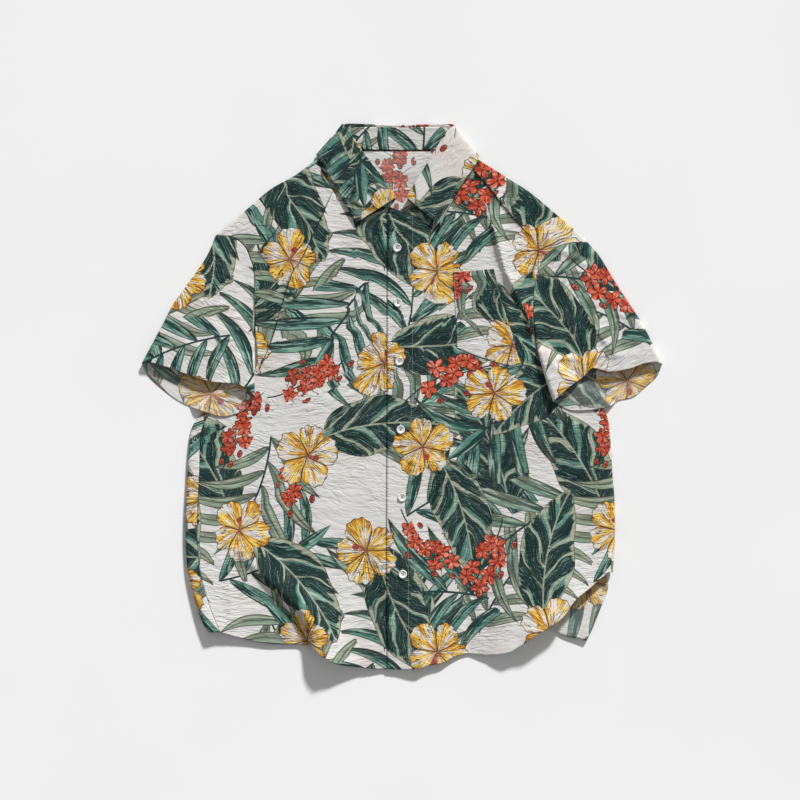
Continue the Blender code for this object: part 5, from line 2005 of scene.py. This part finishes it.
@dataclass
class Sewing:
    """Every row of stitches that shows, each stitch its own short loop of thread."""

    materials: Materials
    body: Body
    collar: Collar
    pocket: Pocket
    sleeves: list[Sleeve]
    length: float = 2.3 * MM
    width: float = 0.5 * MM
    height: float = 0.36 * MM
    pitch: float = 3.0 * MM
    facing: float = 2.85 * CM
    hem: float = 1.7 * CM
    cuff: float = 2.0 * CM
    collar_edge: float = 5.0 * MM
    pocket_edge: float = 2.0 * MM
    pocket_mouth: float = 2.2 * CM
    samples: int = 500
    proud: float = 0.2                # how far a stitch's middle stands out, in its heights
    facing_run: Pair = (0.004, 0.985)
    left_hem_run: Pair = (0.002, 0.95)
    right_hem_run: Pair = (0.02, 0.93)
    back_hem_run: Pair = (0.80, 0.992)
    side_seam_run: Pair = (0.004, 0.16)
    side_seam_rows: Pair = (0.993, 0.981)
    leaf_runs: tuple[Pair, ...] = ((0.012, 0.30), (0.988, 0.70))
    leaf_fold: float = 0.05
    stand_run: Pair = (0.30, 0.70)
    stand_row: float = 0.11
    cuff_run: Pair = (0.06, 0.94)
    cuff_band: float = 0.1

    def stations(self, seam: Seam) -> list[Matrix]:
        """Where each stitch of a row lies.

        Args:
            seam: The row.

        Returns:
            A matrix for each stitch, with X along the row and Z out of the cloth.
        """
        here = np.stack(seam.form(seam.u, seam.v), axis=-1)
        inner = np.where(seam.u > 0.5, -PROBE, PROBE)
        lower = np.where(seam.v > 0.5, -PROBE, PROBE)
        across = (np.stack(seam.form(seam.u + inner, seam.v), axis=-1) - here) * np.sign(inner)[:, None]
        along = (np.stack(seam.form(seam.u, seam.v + lower), axis=-1) - here) * np.sign(lower)[:, None]
        out = np.cross(across, along)
        out = out * np.sign(out[:, 2:]) / np.linalg.norm(out, axis=1)[:, None]
        run = np.concatenate([[0.0], np.cumsum(np.linalg.norm(np.diff(here, axis=0), axis=1))])
        made = []
        for place in np.arange(self.pitch, run[-1] - self.pitch, self.pitch):
            ends = [Vector([np.interp(place + side, run, axis) for axis in here.T])
                    for side in (-self.length / 2, self.length / 2)]
            up = Vector([np.interp(place, run, axis) for axis in out.T])
            ahead = (ends[1] - ends[0]).normalized()
            side = up.cross(ahead).normalized()
            up = ahead.cross(side)
            seat = (ends[0] + ends[1]) / 2 + up * (seam.wall / 2 + self.proud * self.height)
            made.append(Matrix.Translation(seat) @ Matrix((ahead, side, up)).transposed().to_4x4())
        return made

    def sew(self, name: str, seams: list[Seam]) -> None:
        """Makes one piece of the stitches of several rows.

        Args:
            name: The piece's name.
            seams: The rows.
        """
        whole = bmesh.new()
        for seam in seams:
            bm = bmesh.new()
            for place in self.stations(seam):
                add_pill(bm, place, (self.length / 2, self.width / 2, self.height / 2), 6)
            row = as_mesh("row", bm)
            whole.from_mesh(row)
            bpy.data.meshes.remove(row)
        finish_piece(name, whole, self.materials.thread)

    def run(self, ends: Pair) -> Grid:
        """Shares from one end of a row to the other."""
        return np.linspace(*ends, self.samples)

    def line(self, form: Form, start: Pair, end: Pair, wall: float = LAY.wall) -> Seam:
        """A straight row between two places of a form."""
        return Seam(form, self.run((start[0], end[0])), self.run((start[1], end[1])), wall)

    def hem_row(self, form: Form, panel: Panel, ends: Pair) -> Seam:
        """The row along a panel's hem, between two shares of its width."""
        across = self.run(ends)
        return Seam(form, across, self.hem / panel.from_top(across, np.zeros_like(across)))

    def fronts(self) -> None:
        """The placket's facing row and the fronts' hems."""
        body, up = self.body, self.run(self.facing_run)
        self.sew("sewing_fronts", [
            Seam(body.left_places, self.facing / body.left_row(up), up),
            self.hem_row(body.left_places, body.left_panel(), self.left_hem_run),
            self.hem_row(body.right_places, body.right_panel(), self.right_hem_run),
        ])

    def back(self) -> None:
        """The open corner of the back: its hem and its doubly sewn side seam."""
        form, (low, high) = self.body.back_places, self.side_seam_run
        rows = [self.hem_row(form, self.body.back_panel(), self.back_hem_run)]
        rows += [self.line(form, (share, low), (share, high)) for share in self.side_seam_rows]
        self.sew("sewing_back", rows)

    def collars(self) -> None:
        """The leaf's edges and the row along the stand's top."""
        leaf, stand = partial(self.collar.places, LEAF), partial(self.collar.places, STAND)
        wall = self.collar.wall
        rows = []
        for ends in self.leaf_runs:
            u = self.run(ends)
            x, y, _ = leaf(u, np.ones_like(u))
            fold_x, fold_y, _ = leaf(u, np.zeros_like(u))
            v = 1 - self.collar_edge / np.hypot(x - fold_x, y - fold_y)
            rows.append(Seam(leaf, u, v, wall))
            rows.append(self.line(leaf, (ends[0], self.leaf_fold), (ends[0], float(v[0])), wall))
        rows.append(self.line(stand, *((share, self.stand_row) for share in self.stand_run), wall))
        self.sew("sewing_collar", rows)

    def pockets(self) -> None:
        """The pocket's three sewn edges and its mouth's hem."""
        x, y, _ = self.pocket.places(np.array([0.0, 1.0, 0.0]), np.array([0.0, 0.0, 1.0]))
        wide = float(np.hypot(x[1] - x[0], y[1] - y[0]))
        tall = float(np.hypot(x[2] - x[0], y[2] - y[0]))
        u, v, mouth = self.pocket_edge / wide, self.pocket_edge / tall, 1 - self.pocket_mouth / tall
        form = self.pocket.places
        rows = [self.line(form, (u, 1.0), (u, v)), self.line(form, (u, v), (1 - u, v)),
                self.line(form, (1 - u, v), (1 - u, 1.0)), self.line(form, (u, mouth), (1 - u, mouth))]
        self.sew("sewing_pocket", rows)

    def cuffs(self) -> None:
        """Each cuff's hem, over its upper layer and over the inside of its lower one."""
        for sleeve in self.sleeves:
            ring = self.run(self.cuff_run)
            rows = []
            for share in (ring, 2 - ring):
                x, y, _ = sleeve.places(share, np.full_like(share, 1 - self.cuff_band))
                edge_x, edge_y, _ = sleeve.places(share, np.ones_like(share))
                step = np.hypot(edge_x - x, edge_y - y)
                rows.append(Seam(sleeve.places, share, 1 - self.cuff_band * self.cuff / step))
            self.sew("sewing_" + sleeve.name, rows)

    def build(self) -> None:
        """Sews every row."""
        self.fronts()
        self.back()
        self.collars()
        self.pockets()
        self.cuffs()


@dataclass
class Buttons:
    """Six turned buttons, each with four holes, its thread and the buttonhole under it."""

    materials: Materials
    radius: float = 6.0 * MM
    height: float = 2.6 * MM
    hole_radius: float = 0.72 * MM
    hole_pitch: float = 1.35 * MM
    steps: int = 48
    thread_radius: float = 0.30 * MM
    thread_spread: float = 1.5        # two strands' distance, in thread radii
    thread_height: float = 0.62       # in button heights
    thread_reach: float = 1.45        # in half distances of the holes
    slit: float = 14.0 * MM
    slit_width: float = 2.2 * MM
    bar_pitch: float = 0.55 * MM
    bar_width: float = 0.55           # half a bar, in pitches
    bar_height: float = 0.2 * MM
    end_bar: Pair = (0.5 * MM, 0.28 * MM)
    clearance: float = 0.25 * MM
    slit_below: float = 0.15 * MM
    turns: tuple[float, ...] = (8.0, -14.0, 21.0, 3.0, -24.0, 12.0)
    profile: tuple[Pair, ...] = (
        (0.0, 0.0), (0.70, 0.0), (0.90, 0.10), (1.0, 0.40), (1.0, 0.62), (0.95, 0.90), (0.88, 1.0),
        (0.80, 0.98), (0.72, 0.84), (0.64, 0.66), (0.55, 0.60), (0.0, 0.58),
    )

    def seat(self, place: Point) -> Vector:
        """Where a button's underside rests on the placket."""
        x, y = np.array(place.x * CM), np.array(place.y * CM)
        top = float(LAY.front(x[None], y[None])[0] + LAY.placket_rise(x[None])[0])
        return Vector((place.x * CM, place.y * CM, top + LAY.wall / 2 + self.clearance))

    def holes(self) -> Object:
        """Four pins that cut a button's thread holes."""
        bm = bmesh.new()
        for quarter in range(4):
            angle = pi / 4 + quarter * pi / 2
            offset = Vector((self.hole_pitch * cos(angle), self.hole_pitch * sin(angle), 0.0))
            bmesh.ops.create_cone(bm, segments=20, radius1=self.hole_radius, radius2=self.hole_radius,
                                  depth=4 * self.height, cap_ends=True,
                                  matrix=Matrix.Translation(offset))
        return put("button_pins", as_mesh("button_pins", bm))

    def blank(self) -> Mesh:
        """One button with its holes, about the origin.

        Returns:
            Its mesh.
        """
        bm = bmesh.new()
        verts = [bm.verts.new((r * self.radius, 0.0, h * self.height)) for r, h in self.profile]
        edges = [bm.edges.new(pair) for pair in zip(verts, verts[1:])]
        bmesh.ops.spin(bm, geom=verts + edges, cent=(0, 0, 0), axis=(0, 0, 1), angle=2 * pi,
                       steps=self.steps, use_merge=True)
        bmesh.ops.remove_doubles(bm, verts=bm.verts, dist=1e-6)
        bmesh.ops.recalc_face_normals(bm, faces=bm.faces)
        blank = put("button_blank", as_mesh("button_blank", bm))
        pins = self.holes()
        cut = blank.modifiers.new("holes", "BOOLEAN")
        cut.object = pins
        graph = bpy.context.evaluated_depsgraph_get()
        drilled = bpy.data.meshes.new_from_object(blank.evaluated_get(graph))
        bpy.data.objects.remove(blank)
        bpy.data.objects.remove(pins)
        return drilled

    def build(self) -> None:
        """Makes the buttons, their threads and their buttonholes."""
        blank = self.blank()
        threads, slits = bmesh.new(), bmesh.new()
        for number, (place, turn) in enumerate(zip(BUTTONS, self.turns), start=1):
            seat = self.seat(place)
            spot = Matrix.Translation(seat) @ Matrix.Rotation(radians(turn), 4, "Z")
            bm = bmesh.new()
            bm.from_mesh(blank)
            bmesh.ops.transform(bm, matrix=spot, verts=bm.verts)
            piece = finish_piece(f"button_{number}_turned", bm, self.materials.shell)
            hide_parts(f"button_{number}")
            self.add_thread(threads, spot)
            self.add_slit(slits, seat)
        finish_piece("button_threads", threads, self.materials.button_thread)
        finish_piece("buttonholes", slits, self.materials.thread)

    def add_thread(self, bm: BMesh, spot: Matrix) -> None:
        """Two bars of thread, each from hole to hole.

        Args:
            bm: Where they go.
            spot: The button's place.
        """
        half = self.hole_pitch / 2 ** 0.5
        size = (half * self.thread_reach, self.thread_radius, self.thread_radius)
        for side in (-half, half):
            for strand in (-0.5, 0.5):
                across = side + strand * self.thread_radius * self.thread_spread
                offset = Vector((0.0, across, self.height * self.thread_height))
                add_pill(bm, spot @ Matrix.Translation(offset), size, 12)

    def add_slit(self, bm: BMesh, seat: Vector) -> None:
        """A buttonhole's close stitches, with a bar at each end.

        Args:
            bm: Where they go.
            seat: The place of the button over it.
        """
        low = seat.z - self.slit_below
        quarter = self.slit_width / 4
        for row in np.arange(-self.slit / 2, self.slit / 2, self.bar_pitch):
            for side in (-quarter, quarter):
                place = Matrix.Translation((seat.x + side, seat.y + row, low))
                add_pill(bm, place, (quarter, self.bar_pitch * self.bar_width, self.bar_height), 6)
        for end in (-self.slit / 2, self.slit / 2):
            place = Matrix.Translation((seat.x, seat.y + end, low))
            add_pill(bm, place, (self.slit_width / 2, *self.end_bar), 10)


@dataclass
class Stage:
    """The pale floor, the light and the camera straight above."""

    materials: Materials
    floor_size: float = 12.0
    distance: float = 5.0
    frame_width: float = 1.136
    sensor: float = 36.0
    view_depth: float = 50.0
    sun_from: tuple[float, float, float] = (0.34, 0.81, 0.50)
    sun_angle: float = 6.0
    sun_strength: float = 4.45
    fill: float = 0.33

    def build(self) -> None:
        """Makes the floor, the sun, the fill and the camera."""
        bm = bmesh.new()
        bmesh.ops.create_grid(bm, x_segments=8, y_segments=8, size=self.floor_size / 2)
        put("floor", as_mesh("floor", bm, self.materials.backdrop))
        light = bpy.data.lights.new("studio_sun", "SUN")
        light.energy = self.sun_strength
        light.angle = radians(self.sun_angle)
        put("studio_sun", light).rotation_euler = Vector(self.sun_from).to_track_quat("Z", "Y").to_euler()
        world = bpy.data.worlds.new("studio_fill")
        world.use_nodes = True
        background = world.node_tree.nodes["Background"]
        background.inputs["Color"].default_value = (1.0, 1.0, 1.0, 1.0)
        background.inputs["Strength"].default_value = self.fill
        bpy.context.scene.world = world
        bpy.context.scene.view_settings.view_transform = "Standard"
        lens = bpy.data.cameras.new("camera")
        lens.sensor_width = self.sensor
        lens.lens = self.sensor * self.distance / self.frame_width
        lens.clip_end = self.view_depth
        camera = put("camera", lens)
        camera.location = (0.0, 0.0, self.distance)
        bpy.context.scene.camera = camera


def sleeves(materials: Materials) -> list[Sleeve]:
    """The two sleeves, each with its own tables."""
    right = Sleeve("sleeve_right", materials, RIGHT_SIDE, RIGHT_SLEEVE_OUTER, RIGHT_SLEEVE_INNER,
                   RIGHT_CUFF_FRONT, RIGHT_CUFF_BACK, RIGHT_SLEEVE_CREASES,
                   rest_y=5.6 * CM, armhole_end=8.0)
    left = Sleeve("sleeve_left", materials, LEFT_SIDE, LEFT_SLEEVE_OUTER, LEFT_SLEEVE_INNER,
                  LEFT_CUFF_FRONT, LEFT_CUFF_BACK, LEFT_SLEEVE_CREASES,
                  rest_y=6.6 * CM, armhole_end=9.0)
    return [right, left]


def main() -> None:
    """Builds every piece in order."""
    logging.basicConfig(level=logging.INFO, format="%(name)s %(message)s")
    materials = Materials()
    body, collar, pocket = Body(materials), Collar(materials), Pocket(materials)
    pair = sleeves(materials)
    body.build()
    for sleeve in pair:
        sleeve.build()
    collar.build()
    pocket.build()
    Sewing(materials, body, collar, pocket, pair).build()
    Buttons(materials).build()
    Stage(materials).build()
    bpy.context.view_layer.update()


if __name__ == "__main__":
    main()
